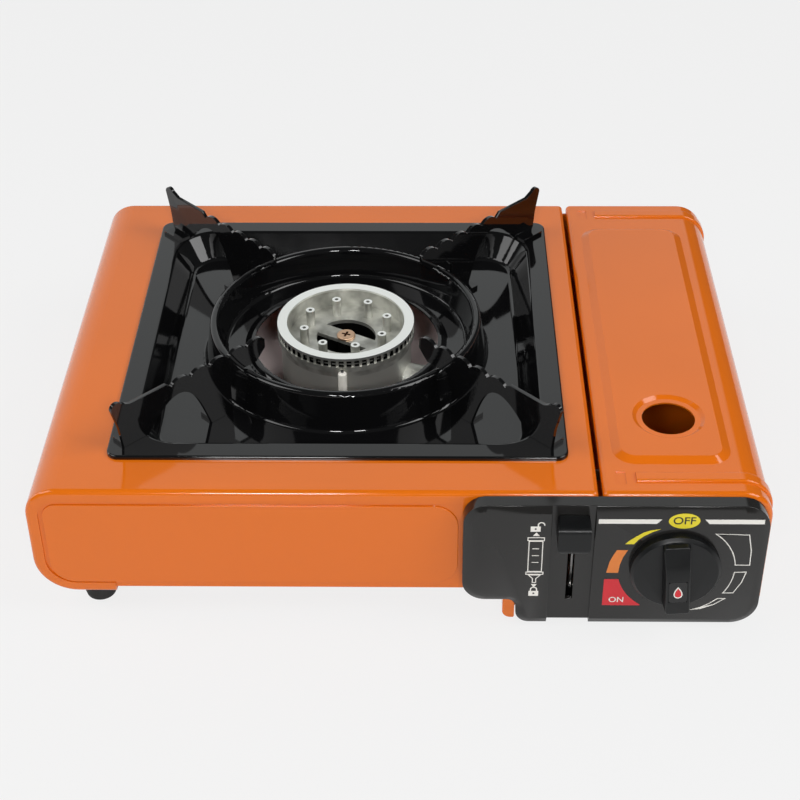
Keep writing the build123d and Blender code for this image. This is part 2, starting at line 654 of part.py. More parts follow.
def tongue_slot(y_low, y_high):
    """Slot that lets the lever's tongue run its whole travel."""
    half = TONGUE / 2 + SLOT_ROOM
    low = TONGUE_LOW - LEVER_TRAVEL - SLOT_ROOM
    high = TONGUE_LOW + TONGUE_HEIGHT + SLOT_ROOM
    return block(LEVER_X - half, LEVER_X + half, y_low, y_high, low, high)


def make_partition_wall():
    """Sheet between the burner and the cartridge, with passages for the catch, tube and lead."""
    y_low = TRAY_INSIDE
    y_high = TRAY_BACK - SHEET
    wall = block(PARTITION, PARTITION + SHEET, y_low, y_high, TRAY_FLOOR, BODY_TOP - SHEET)
    wall += block(PARTITION - FLANGE, PARTITION, y_low, y_high, TRAY_FLOOR, TRAY_FLOOR + SHEET)
    side = (PARTITION - PAST, PARTITION + SHEET + PAST)
    half = CATCH_ARM_HEIGHT / 2 + PIN_FIT
    catch_low = CATCH_Y - CATCH_TRAVEL - FOOT_ROOM
    wall -= block(*side, catch_low, CATCH_Y + BRACKET + FOOT_ROOM, AXIS_Z - half, AXIS_Z + half)
    wall -= rod((side[0], GAS_Y, GAS_Z), (1, 0, 0), FLANGE, GAS_TUBE + SHEET)
    wall -= rod((side[0], LEAD_CROSS_Y, LEAD_HEIGHT), (1, 0, 0), FLANGE, LEAD + SHEET / 2)
    return wall


def make_heat_shield():
    """Bright plate under the burner, on turned-down edges."""
    half = SHIELD_SIDE / 2
    box = (PAN_X - half, PAN_X + half, PAN_Y - half, PAN_Y + half)
    shield = fillet(block(*box, BASE_TOP, SHIELD_TOP).edges().filter_by(Axis.Z), FIELD_CORNER)
    hollow = RectangleRounded(SHIELD_SIDE - 2 * SHEET, SHIELD_SIDE - 2 * SHEET, FIELD_CORNER - SHEET)
    shield -= along_z(Pos(PAN_X, PAN_Y) * hollow, BASE_TOP - PAST, SHIELD_TOP - SHEET)
    for x, y in BRACKET_SCREWS:
        shield -= rod((x, y, BASE_TOP), (0, 0, 1), FLANGE, SMALL_SCREW + SCREW_FIT)
    return shield


BRACKET_FOOT = BRACKET_WIDTH / 2 + BRACKET + SMALL_HEAD + PAST
BRACKET_SCREWS = [(PAN_X + side * BRACKET_FOOT, PAN_Y) for side in (-1, 1)]


def make_burner_bracket():
    """Bridge that carries the burner over the heat shield."""
    half = BRACKET_WIDTH / 2
    foot = BRACKET_FOOT + SMALL_HEAD + PAST
    y_low = PAN_Y - BRACKET_DEPTH / 2
    y_high = PAN_Y + BRACKET_DEPTH / 2
    top = BURNER_BASE
    bracket = block(PAN_X - half - BRACKET, PAN_X + half + BRACKET, y_low, y_high, top - BRACKET, top)
    for side in (-1, 1):
        inner, outer = sorted((PAN_X + side * half, PAN_X + side * (half + BRACKET)))
        bracket += block(inner, outer, y_low, y_high, SHIELD_TOP, top)
        inner, outer = sorted((PAN_X + side * half, PAN_X + side * foot))
        bracket += block(inner, outer, y_low, y_high, SHIELD_TOP, SHIELD_TOP + BRACKET)
    bracket -= rod((PAN_X, PAN_Y, top - FLANGE), (0, 0, 1), FLANGE + PAST, THROAT - BRIDGE_WIDTH / 2)
    for x, y in BRACKET_SCREWS:
        bracket -= rod((x, y, BASE_TOP), (0, 0, 1), FLANGE, SMALL_SCREW + SCREW_FIT)
    return bracket


def small_screw(head, direction, length):
    """Cross-recess screw: its head starts at a point, its shank runs along the direction."""
    back = tuple(-d for d in direction)
    under = tuple(h + d * SMALL_HEAD_HEIGHT for h, d in zip(head, direction))
    screw = rod(head, direction, SMALL_HEAD_HEIGHT, SMALL_HEAD)
    screw = fillet(screw.edges().sort_by(Axis(head, direction))[0], SMALL_HEAD_HEIGHT / 3)
    screw += rod(under, direction, length, SMALL_SCREW)
    recess = Plane(origin=under, z_dir=back)
    depth = (Align.CENTER, Align.CENTER, Align.MIN)
    for turn in (0, 90):
        bar = Box(SMALL_SCREW * 2, SMALL_SCREW / 2, SMALL_HEAD_HEIGHT, align=depth)
        screw -= recess * Pos(0, 0, SMALL_HEAD_HEIGHT / 2) * Rot(0, 0, turn) * bar
    return screw


def make_bracket_screws():
    """Screws that hold the burner bracket to the heat shield."""
    top = SHIELD_TOP + BRACKET + SMALL_HEAD_HEIGHT
    length = BRACKET + SHEET + BRACKET
    return [small_screw((x, y, top), (0, 0, -1), length) for x, y in BRACKET_SCREWS]


def turned(radius_height):
    """Solid of revolution about the burner axis, from (radius, height below the burner top) points."""
    section = make_face(Polyline(*radius_height, close=True))
    return Pos(PAN_X, PAN_Y, BURNER_Z) * revolve(Plane.XZ * section, Axis.Z)


def at_burner(angle, radius, height):
    """Point at an angle and radius round the burner axis."""
    return (PAN_X + radius * cos(radians(angle)), PAN_Y + radius * sin(radians(angle)), height)


def burner_bar(angle, width, length, z_low, z_high):
    """Bar across the burner axis."""
    bar = along_z(Rectangle(length, width, rotation=angle), z_low, z_high)
    return Pos(PAN_X, PAN_Y, 0) * bar


def make_burner_head():
    """Ring with flame slots, bowl, hollow posts and a bridge for the screw."""
    slot_top = -RING_THICK
    slot_low = slot_top - SLOT_HEIGHT
    flange_low = slot_low - RING_FLANGE
    wall = RING_OUT - SLOT_RECESS
    floor = -BOWL_DEPTH
    low = floor - BOWL_FLOOR
    head = turned([(RING_IN, 0), (RING_OUT, 0), (RING_OUT, slot_top), (wall, slot_top), (wall, slot_low),
                   (RING_OUT, slot_low), (RING_OUT, flange_low), (CUP_OUT, flange_low - SLOT_RECESS),
                   (CUP_OUT, low), (THROAT, low), (THROAT, floor), (RING_IN, floor)])
    gallery_top = slot_top - SLOT_RECESS
    head -= turned([(GALLERY_IN, low - PAST), (GALLERY_OUT, low - PAST), (GALLERY_OUT, gallery_top),
                    (GALLERY_IN, gallery_top)])
    slot = Box(RING_OUT - GALLERY_IN, SLOT_WIDTH, SLOT_HEIGHT)
    middle = Pos(PAN_X, PAN_Y, BURNER_Z + (slot_top + slot_low) / 2)
    reach = (RING_OUT + GALLERY_IN) / 2 + SLOT_RECESS
    head -= [middle * Rot(0, 0, 360 * i / SLOT_COUNT) * Pos(reach, 0, 0) * slot for i in range(SLOT_COUNT)]
    floor_z = BURNER_Z + floor
    for i in range(POST_COUNT):
        foot = at_burner(POST_TURN + 360 * i / POST_COUNT, POST_CIRCLE, floor_z - BOWL_FLOOR)
        height = BOWL_DEPTH + BOWL_FLOOR - POST_DROP
        head += rod(foot, (0, 0, 1), height, POST_OUT)
        head -= rod(foot, (0, 0, 1), height + PAST, POST_HOLE)
    head += burner_bar(BRIDGE_ANGLE, BRIDGE_WIDTH, 2 * THROAT + PAST, floor_z - BOWL_FLOOR, floor_z)
    return head - rod((PAN_X, PAN_Y, HEAD_BASE - PAST), (0, 0, 1), FLANGE, BURNER_SCREW + SCREW_FIT)


def tube_point(radius):
    """Point on the mixing tube's axis."""
    return at_burner(TUBE_ANGLE, radius, TUBE_Z)


TUBE_WAY = (cos(radians(TUBE_ANGLE)), sin(radians(TUBE_ANGLE)), 0)
TUBE_BACK = (-TUBE_WAY[0], -TUBE_WAY[1], 0)


def make_burner_base():
    """Mixing chamber with the mixing tube and the boss for the burner screw."""
    top = HEAD_BASE - BURNER_Z
    low = top - BASE_HEIGHT
    inner = CUP_OUT - BASE_WALL
    tube = THROAT + BASE_WALL
    base = turned([(THROAT, low), (CUP_OUT, low), (CUP_OUT, top), (inner, top), (inner, low + BASE_WALL),
                   (tube, low + BASE_WALL), (tube, top), (THROAT, top)])
    flare = TUBE_REACH - FLARE_LENGTH
    base += rod(tube_point(inner + PAST), TUBE_WAY, TUBE_REACH - inner - PAST, TUBE_OUT)
    base += cone(tube_point(flare), TUBE_WAY, FLARE_LENGTH, TUBE_OUT, FLARE_OUT)
    wall = TUBE_OUT - TUBE_IN
    base -= rod(tube_point(tube + PAST), TUBE_WAY, TUBE_REACH, TUBE_IN)
    base -= cone(tube_point(flare), TUBE_WAY, FLARE_LENGTH, TUBE_IN, FLARE_OUT - wall)
    floor = BURNER_BASE + BASE_WALL
    base += burner_bar(BRIDGE_ANGLE, BRIDGE_WIDTH, 2 * THROAT + PAST, BURNER_BASE, floor)
    base += rod((PAN_X, PAN_Y, BURNER_BASE), (0, 0, 1), BASE_HEIGHT, BRIDGE_WIDTH / 2)
    pilot = BURNER_SCREW + SCREW_FIT
    return base - rod((PAN_X, PAN_Y, floor), (0, 0, 1), BASE_HEIGHT, pilot)


def make_burner_screw():
    """Cross-recess screw on the bridge."""
    top = BURNER_Z - BOWL_DEPTH + SCREW_HEAD_HEIGHT
    head = rod((PAN_X, PAN_Y, top - SCREW_HEAD_HEIGHT), (0, 0, 1), SCREW_HEAD_HEIGHT, SCREW_HEAD)
    head = fillet(head.edges().sort_by(Axis.Z)[-1], SCREW_HEAD_HEIGHT / 2)
    for turn in (0, 90):
        head -= burner_bar(turn + TUBE_ANGLE, SCREW_HEAD / 4, SCREW_HEAD, top - SCREW_HEAD_HEIGHT / 2, top)
    length = BOWL_FLOOR + BASE_HEIGHT / 2
    return head + rod((PAN_X, PAN_Y, top - SCREW_HEAD_HEIGHT), (0, 0, -1), length, BURNER_SCREW)


def make_gas_nozzle():
    """Brass jet that blows into the mixing tube."""
    start = TUBE_REACH + NOZZLE_GAP
    nozzle = cone(tube_point(start), TUBE_WAY, NOZZLE_TIP, NOZZLE / 2, NOZZLE)
    nozzle += rod(tube_point(start + NOZZLE_TIP), TUBE_WAY, NOZZLE_LENGTH - NOZZLE_TIP, NOZZLE)
    bore = GAS_TUBE - GAS_TUBE_WALL
    nozzle -= rod(tube_point(start + NOZZLE_LENGTH), TUBE_BACK, NOZZLE_LENGTH - NOZZLE_TIP, bore)
    return nozzle - rod(tube_point(start), TUBE_WAY, NOZZLE_TIP + PAST, GAS_TUBE_WALL / 2)


def make_nozzle_bracket():
    """Plate square to the tube that holds the jet, with an arm to the partition."""
    at = TUBE_REACH + NOZZLE_GAP + NOZZLE_LENGTH / 2
    place = Plane(origin=tube_point(at), z_dir=TUBE_WAY, x_dir=(0, 0, 1))
    side = 2 * FLARE_OUT
    plate = place * Box(side, side, BRACKET)
    x, y, z = tube_point(at)
    arm_y = y + FLARE_OUT * TUBE_WAY[0] - BRACKET / 2
    arm_x = x - FLARE_OUT * TUBE_WAY[1] - BRACKET
    plate += block(arm_x, PARTITION, arm_y, arm_y + BRACKET, z - side / 2, z + side / 2)
    return plate - rod(tube_point(TUBE_REACH), TUBE_WAY, NOZZLE_LENGTH + FLANGE, NOZZLE)


def make_gas_tube():
    """Tube from the regulator's outlet to the jet."""
    rear = TUBE_REACH + NOZZLE_GAP + NOZZLE_LENGTH
    reach = (GAS_RUN_X - tube_point(rear)[0]) / TUBE_WAY[0]
    turn = tube_point(rear + reach)
    points = [(AXIS_X - OUTLET_REACH, GAS_Y, GAS_Z), (GAS_RUN_X, GAS_Y, GAS_Z),
              (GAS_RUN_X, turn[1] - GAS_RISE_AT, GAS_Z), turn, tube_point(rear)]
    path = FilletPolyline(*points, radius=[GAS_TUBE_BEND, GAS_TUBE_BEND, GAS_TUBE])
    start = Plane(origin=points[0], z_dir=(-1, 0, 0))
    ring = Circle(GAS_TUBE) - Circle(GAS_TUBE - GAS_TUBE_WALL)
    tube = sweep(start * ring, path)
    area = pi * (GAS_TUBE ** 2 - (GAS_TUBE - GAS_TUBE_WALL) ** 2)
    print("gas_tube volume over section times length:", round(tube.volume / (area * path.length), 4))
    return tube


def make_electrode_ceramic():
    """Ceramic sleeve of the spark electrode."""
    low = BURNER_Z - CERAMIC_TOP - CERAMIC_LENGTH
    foot = at_burner(ELECTRODE_ANGLE, ELECTRODE_AT, low)
    sleeve = rod(foot, (0, 0, 1), CERAMIC_LENGTH, CERAMIC)
    sleeve = fillet(sleeve.edges().sort_by(Axis.Z)[-1], CERAMIC / 2)
    return sleeve - rod(foot, (0, 0, 1), CERAMIC_LENGTH, PIN)


PIN_LOW = BURNER_Z - CERAMIC_TOP - CERAMIC_LENGTH - PIN_BELOW


def make_electrode_pin():
    """Wire through the ceramic sleeve."""
    foot = at_burner(ELECTRODE_ANGLE, ELECTRODE_AT, PIN_LOW)
    return rod(foot, (0, 0, 1), PIN_BELOW + CERAMIC_LENGTH + PIN_ABOVE, PIN)


def make_electrode_bracket():
    """Clip from the mixing chamber to the ceramic sleeve."""
    high = BURNER_Z - CLAMP_DROP
    reach = ELECTRODE_AT + CLAMP_WIDTH / 2
    arm = Pos(reach / 2, 0) * Rectangle(reach, CLAMP_WIDTH)
    clip = Pos(PAN_X, PAN_Y, 0) * Rot(0, 0, ELECTRODE_ANGLE) * along_z(arm, high - BRACKET, high)
    clip -= rod((PAN_X, PAN_Y, high - BRACKET - PAST), (0, 0, 1), FLANGE, CUP_OUT)
    return clip - rod(at_burner(ELECTRODE_ANGLE, ELECTRODE_AT, high - FLANGE), (0, 0, 1), 2 * FLANGE, CERAMIC)


def make_ignition_lead():
    """Insulated wire from the electrode, through the partition, to the igniter."""
    start = at_burner(ELECTRODE_ANGLE, ELECTRODE_AT, PIN_LOW)
    top = IGNITER_BASE + IGNITER_LENGTH - IGNITER_SIDE / 2
    points = [start, (start[0], start[1], LEAD_HEIGHT), (PAN_X + SHIELD_SIDE / 2, LEAD_CROSS_Y, LEAD_HEIGHT),
              (LEAD_X, LEAD_CROSS_Y, LEAD_HEIGHT), (LEAD_X, CAM_MID, LEAD_HEIGHT), (LEAD_X, CAM_MID, top),
              (AXIS_X - IGNITER_SIDE / 2, CAM_MID, top)]
    bend = LEAD + LEAD_TO_PARTITION - SHEET / 2
    radii = [LEAD_BEND, LEAD_BEND, bend, LEAD_BEND, LEAD_BEND]
    path = FilletPolyline(*points, radius=radii)
    lead = sweep(Plane(origin=start, z_dir=(0, 0, -1)) * Circle(LEAD), path)
    print("ignition_lead length", round(path.length, 1), "radii", radii)
    print("ignition_lead volume over section times length:",
          round(lead.volume / (pi * LEAD ** 2 * path.length), 4))
    return lead


FASCIA_BOSSES = [(FASCIA_LEFT + BOSS_INSET, FASCIA_TOP - 2 * BOSS_INSET),
                 (PARTITION + BOSS_INSET, FASCIA_BASE + BOSS_INSET - BOSS / 2),
                 (AXIS_X + 2 * BOSS_INSET - BOSS, FASCIA_BASE + BOSS_INSET - BOSS / 2)]


def fascia_outline():
    """Corners and radii of the fascia, seen from the front."""
    step_x = FASCIA_LEFT + FASCIA_STEP_FROM_LEFT
    step_z = FASCIA_BASE + FASCIA_STEP_RISE
    corners = [(step_x, FASCIA_BASE), (FASCIA_RIGHT, FASCIA_BASE), (FASCIA_RIGHT, FASCIA_TOP),
               (FASCIA_LEFT, FASCIA_TOP), (FASCIA_LEFT, step_z), (step_x, step_z)]
    radii = [FASCIA_STEP_CORNER, FASCIA_CORNER, FASCIA_CORNER, FASCIA_TOP_CORNER, FASCIA_TOP_CORNER,
             FASCIA_STEP_HOLLOW]
    return corners, radii


def make_control_panel():
    """Moulded fascia with a bevelled edge, a lever channel, screw bosses and the knob hole."""
    corners, radii = fascia_outline()
    bevel_depth = FASCIA_DEPTH - FASCIA_STRAIGHT
    face = outline(corners, radii)
    panel = along_y(face, FASCIA_FACE, FASCIA_BACK)
    panel = chamfer(panel.faces().sort_by(Axis.Y)[0].edges(), FASCIA_BEVEL, bevel_depth)
    half = CHANNEL_WIDTH / 2
    channel = (LEVER_X - half, LEVER_X + half)
    panel -= block(*channel, FASCIA_FACE - PAST, CHANNEL_FACE, FASCIA_BASE - PAST, FASCIA_TOP + PAST)
    panel -= block(*channel, FASCIA_FACE - PAST, FASCIA_BACK + PAST, FASCIA_BASE - PAST,
                   FASCIA_BASE + CHANNEL_NOTCH)
    wall = FASCIA_BEVEL + FASCIA_WALL
    inner = inset(corners, wall)
    inner_radii = shrink(radii, wall)
    inner_radii[-1] = radii[-1] + wall
    hollow = along_y(outline(inner, inner_radii), FASCIA_FACE + FASCIA_WALL, FASCIA_BACK + PAST)
    floor = CHANNEL_FACE + FASCIA_WALL
    hollow -= block(channel[0] - FASCIA_WALL, channel[1] + FASCIA_WALL, FASCIA_FACE, floor, 0, BODY_TOP)
    panel -= hollow
    for (x, z), seat in zip(FASCIA_BOSSES, (Y_FRONT + SHEET, TRAY_FRONT, TRAY_FRONT)):
        front = FASCIA_FACE + FASCIA_WALL / 2
        panel += rod((x, front, z), (0, 1, 0), seat - front, BOSS)
        panel -= rod((x, seat, z), (0, -1, 0), SCREW_DEPTH, SMALL_SCREW + SCREW_FIT)
    panel -= rod((AXIS_X, FASCIA_FACE - PAST, AXIS_Z), (0, 1, 0), FASCIA_DEPTH, SPINDLE + SPINDLE_ROOM)
    return panel - tongue_slot(FASCIA_FACE - PAST, FASCIA_BACK + PAST)


def make_panel_screws():
    """Screws that hold the fascia from inside."""
    seats = (Y_FRONT + 2 * SHEET, TRAY_INSIDE, TRAY_INSIDE)
    length = SHEET + SCREW_DEPTH - PAST
    return [small_screw((x, seat + SMALL_HEAD_HEIGHT, z), (0, -1, 0), length)
            for (x, z), seat in zip(FASCIA_BOSSES, seats)]


KNOB_PLACE = Pos(AXIS_X, 0, AXIS_Z) * Rot(0, -GRIP_LEAN, 0)


def make_control_knob():
    """Disc with a raised grip that reaches past its lower edge."""
    disc = along_y(Circle(KNOB), KNOB_FACE, KNOB_BACK)
    disc = chamfer(disc.edges().sort_by(Axis.Y)[0], KNOB_BEVEL)
    half = GRIP_WIDTH / 2
    plan = outline(rectangle((-half, -GRIP_BELOW), (half, GRIP_ABOVE)), [GRIP_NOSE] * 4)
    front = KNOB_FACE - GRIP_HEIGHT
    grip = along_y(plan, front, KNOB_FACE + KNOB_DISC / 2, taper=GRIP_TAPER)
    back = KNOB_FACE + KNOB_DISC
    side = [(back, -KNOB - KNOB), (front, -KNOB - KNOB), (front, GRIP_ABOVE / 3),
            (KNOB_FACE - KNOB_BEVEL, KNOB), (back, KNOB)]
    profile = outline(side, [0, 0, KNOB, 0, 0])
    grip &= along_x(profile, -KNOB, KNOB)
    grip = fillet(grip.faces().sort_by(Axis.Y)[0].edges(), KNOB_BEVEL / 2)
    knob = disc + grip
    pocket = Pos(0, -WINDOW_DROP) * Rectangle(WINDOW_WIDTH, WINDOW_HEIGHT)
    knob -= along_y(pocket, front - PAST, front + WINDOW_DEPTH)
    bore = SPINDLE + SPINDLE_FIT
    knob -= rod((0, KNOB_BACK, 0), (0, -1, 0), SPINDLE_IN_KNOB, bore)
    return KNOB_PLACE * knob


def make_knob_window():
    """Small pad at the pointer end of the grip."""
    front = KNOB_FACE - GRIP_HEIGHT
    plan = RectangleRounded(WINDOW_WIDTH - 2 * WINDOW_FIT, WINDOW_HEIGHT - 2 * WINDOW_FIT, GRIP_NOSE / 2)
    return KNOB_PLACE * along_y(Pos(0, -WINDOW_DROP) * plan, front, front + WINDOW_DEPTH)


def make_valve_spindle():
    """Shaft from the knob into the regulator."""
    front = KNOB_BACK - SPINDLE_IN_KNOB
    back = REG_FRONT - REG_NOSE_LENGTH + REG_BORE_DEPTH - PAST
    return rod((AXIS_X, front, AXIS_Z), (0, 1, 0), back - front, SPINDLE)


def cam_radius(angle):
    """Cam radius at an angle turned clockwise from its top, seen from the front."""
    return CAM_LOW + CAM_LIFT * angle / KNOB_TURN


def cam_point(angle):
    """Point of the cam's rising edge."""
    radius = cam_radius(angle)
    return (radius * sin(radians(angle)), radius * cos(radians(angle)))


def make_ignition_cam():
    """Spiral cam that lifts the igniter's plunger as the knob turns."""
    lead_in = -CAM_FALL
    steps = range(int((KNOB_TURN + 2 * CAM_FALL) / (CAM_FALL / 5)) + 1)
    rise = Spline(*[cam_point(lead_in + i * CAM_FALL / 5) for i in steps])
    fall = Line(rise @ 1, cam_point(lead_in - 2 * CAM_FALL))
    rest = ThreePointArc(fall @ 1, cam_point(lead_in - CAM_FALL), rise @ 0)
    cam = along_y(make_face(rise + fall + rest), CAM_FRONT, CAM_FRONT + CAM_THICK)
    return Pos(AXIS_X, 0, AXIS_Z) * (cam - rod((0, CAM_FRONT - PAST, 0), (0, 1, 0), FLANGE, SPINDLE))


def square_bar(side, z_low, z_high):
    """Upright square bar over the cam."""
    half = side / 2
    return block(AXIS_X - half, AXIS_X + half, CAM_MID - half, CAM_MID + half, z_low, z_high)


SPRING_LOW = IGNITER_BASE + PLUNGER_INSIDE


def make_igniter_body():
    """Piezo igniter case, open below for the plunger."""
    case = square_bar(IGNITER_SIDE, IGNITER_BASE, IGNITER_BASE + IGNITER_LENGTH)
    case = fillet(case.edges().filter_by(Axis.Z), PLUNGER_FIT * 2)
    return case - square_bar(PLUNGER_SIDE + 2 * PLUNGER_FIT, IGNITER_BASE - PAST, SPRING_LOW + SPRING_ROOM)


def make_igniter_plunger():
    """Plunger that the cam pushes up into the igniter."""
    plunger = square_bar(PLUNGER_SIDE, PLUNGER_TIP, SPRING_LOW)
    tip = plunger.edges().group_by(Axis.Z)[0].filter_by(Axis.Y)
    return fillet(tip, PLUNGER_SIDE / 3)


def make_igniter_spring():
    """Return spring between the plunger and the top of the igniter's bore."""
    height = SPRING_ROOM - 2 * SPRING_WIRE - PLUNGER_FIT
    start = SPRING_LOW + SPRING_WIRE + PLUNGER_FIT / 2
    coil = Helix(pitch=height / SPRING_TURNS, height=height, radius=SPRING_RADIUS)
    wire = Plane(origin=coil @ 0, z_dir=coil % 0) * Circle(SPRING_WIRE)
    return Pos(AXIS_X, CAM_MID, start) * sweep(wire, coil, is_frenet=True)


def make_igniter_bracket():
    """Clip on the tray's front wall that holds the igniter."""
    half = IGNITER_SIDE / 2
    low = IGNITER_BASE + SHEET
    high = IGNITER_BASE + IGNITER_LENGTH - IGNITER_SIDE
    width = half + BRACKET
    clip = block(AXIS_X - width, AXIS_X + width, TRAY_INSIDE, TRAY_INSIDE + BRACKET, low, high)
    back = CAM_MID + half
    for side in (-1, 1):
        inner, outer = sorted((AXIS_X + side * half, AXIS_X + side * width))
        clip += block(inner, outer, TRAY_INSIDE, back, low, high)
    return clip


def make_regulator_bracket():
    """Upright steel plate on the tray floor that carries the regulator."""
    half = REG_BRACKET_WIDTH / 2
    side = (AXIS_X - half, AXIS_X + half)
    plate = block(*side, REG_BRACKET_Y, REG_FRONT, TRAY_FLOOR, REG_BRACKET_TOP)
    toe = TRAY_INSIDE + SMALL_HEAD_HEIGHT + PAST
    plate += block(*side, toe, REG_BRACKET_Y, TRAY_FLOOR, TRAY_FLOOR + BRACKET)
    return plate - rod((AXIS_X, REG_BRACKET_Y - PAST, AXIS_Z), (0, 1, 0), FLANGE, REG_NOSE + SCREW_FIT)


def make_regulator_body():
    """Die-cast regulator with the spindle nose, the diaphragm housing, outlet and cartridge socket."""
    middle = (REG_FRONT + REG_BACK) / 2
    body = rod((AXIS_X, REG_FRONT, AXIS_Z), (0, 1, 0), REG_LENGTH, REG_BODY)
    body += rod((AXIS_X, REG_FRONT - REG_NOSE_LENGTH, AXIS_Z), (0, 1, 0), REG_NOSE_LENGTH + PAST, REG_NOSE)
    body += rod((AXIS_X, REG_BACK - PAST, AXIS_Z), (0, 1, 0), INLET_LENGTH + PAST, INLET)
    body += rod((AXIS_X, middle, AXIS_Z), (1, 0, 0), CHAMBER_REACH, CHAMBER_NECK)
    half = OUTLET_SIDE / 2
    body += block(AXIS_X - OUTLET_REACH, AXIS_X, GAS_Y - half, GAS_Y + half, GAS_Z - half, GAS_Z + half)
    nose = REG_FRONT - REG_NOSE_LENGTH
    body -= rod((AXIS_X, nose, AXIS_Z), (0, 1, 0), REG_BORE_DEPTH, SPINDLE + SPINDLE_FIT)
    mouth = REG_BACK + INLET_LENGTH
    body -= rod((AXIS_X, mouth, AXIS_Z), (0, -1, 0), SOCKET_DEPTH, SOCKET)
    return body - rod((AXIS_X, mouth - SOCKET_DEPTH, AXIS_Z), (0, -1, 0), SEAL_THICK, SEAL)


def cover_screw_places():
    """Centres of the cover screws, in (Y, Z)."""
    middle = (REG_FRONT + REG_BACK) / 2
    turns = [radians(45 + 90 * i) for i in range(4)]
    return [(middle + COVER_SCREW_CIRCLE * cos(t), AXIS_Z + COVER_SCREW_CIRCLE * sin(t)) for t in turns]


def make_regulator_cover():
    """Domed cover of the diaphragm housing."""
    middle = (REG_FRONT + REG_BACK) / 2
    face = AXIS_X + CHAMBER_REACH
    cover = rod((face, middle, AXIS_Z), (1, 0, 0), COVER, CHAMBER)
    dome = cone((face + COVER, middle, AXIS_Z), (1, 0, 0), COVER, CHAMBER / 2, CHAMBER / 3)
    cover += dome
    for y, z in cover_screw_places():
        cover -= rod((face - PAST, y, z), (1, 0, 0), FLANGE, SMALL_SCREW + SCREW_FIT)
    return cover


def make_regulator_screws():
    """Four screws of the regulator's cover."""
    head = AXIS_X + CHAMBER_REACH + COVER + SMALL_HEAD_HEIGHT
    return [small_screw((head, y, z), (-1, 0, 0), COVER) for y, z in cover_screw_places()]


def make_cartridge_seal():
    """Rubber washer at the bottom of the cartridge socket."""
    mouth = (AXIS_X, REG_BACK + INLET_LENGTH - SOCKET_DEPTH, AXIS_Z)
    return rod(mouth, (0, -1, 0), SEAL_THICK, SEAL) - rod(mouth, (0, -1, 0), SEAL_THICK, SEAL_HOLE)


def make_tube_nut():
    """Hexagon nut at the regulator's outlet."""
    face = AXIS_X - OUTLET_REACH
    plan = Pos(GAS_Y, GAS_Z) * (RegularPolygon(NUT, 6) - Circle(GAS_TUBE + SCREW_FIT))
    return along_x(plan, face - NUT, face)


def make_lever_knob():
    """Finger block of the lock lever, rounded all round."""
    back = CHANNEL_FACE - LEVER_CLEAR
    front = back - LEVER_FRONT
    side = [(back, LEVER_BOTTOM), (back, LEVER_BACK_TOP), (front, LEVER_FRONT_TOP), (front, LEVER_BOTTOM)]
    sides = (LEVER_X - LEVER_WIDTH / 2, LEVER_X + LEVER_WIDTH / 2)
    lever = along_x(outline(side, [0, 0, LEVER_RIDGE, LEVER_RIDGE]), *sides)
    plan = rectangle((sides[0], LEVER_BOTTOM), (sides[1], LEVER_BACK_TOP))
    lever &= along_y(outline(plan, [LEVER_ROUND] * 2 + [LEVER_TOP_ROUND] * 2), front, back)
    half = TONGUE / 2 + TONGUE_FIT
    low = TONGUE_LOW - TONGUE_FIT
    high = TONGUE_LOW + TONGUE_HEIGHT + TONGUE_FIT
    return lever - block(LEVER_X - half, LEVER_X + half, back - TONGUE_IN_LEVER, back + PAST, low, high)


def make_lever_slider():
    """Steel plate from the lever knob to the pin that drives the catch."""
    front = CHANNEL_FACE - LEVER_CLEAR - TONGUE_IN_LEVER
    high = TONGUE_LOW + TONGUE_HEIGHT
    plate = block(SLIDER_LEFT, SLIDER_RIGHT, front, PIN_Y + SLIDER_BACK, TONGUE_LOW, high)
    return plate - rod((SLIDER_LEFT - PAST, PIN_Y, PIN_HEIGHT), (1, 0, 0), FLANGE, SLIDER_PIN)


def make_slider_pin():
    """Pin that runs in the catch's slanted slot."""
    length = SLIDER_RIGHT - SLIDER_LEFT + CATCH_GAP + BRACKET + PAST
    return rod((SLIDER_LEFT, PIN_Y, PIN_HEIGHT), (1, 0, 0), length, SLIDER_PIN)


def make_lever_guide():
    """Channel on the tray's front wall in which the slider runs."""
    low = TONGUE_LOW - LEVER_TRAVEL - 2 * SLOT_ROOM
    high = TONGUE_LOW + TONGUE_HEIGHT + 2 * SLOT_ROOM
    inner = TONGUE / 2 + GUIDE_FIT
    outer = inner + GUIDE_RAIL
    guide = block(LEVER_X - outer, LEVER_X + outer, TRAY_INSIDE, TRAY_INSIDE + GUIDE_DEPTH, low, high)
    guide -= block(LEVER_X - inner, LEVER_X + inner, TRAY_INSIDE + SHEET, TRAY_INSIDE + FLANGE, low, high)
    return guide - tongue_slot(TRAY_INSIDE - PAST, TRAY_INSIDE + PAST)


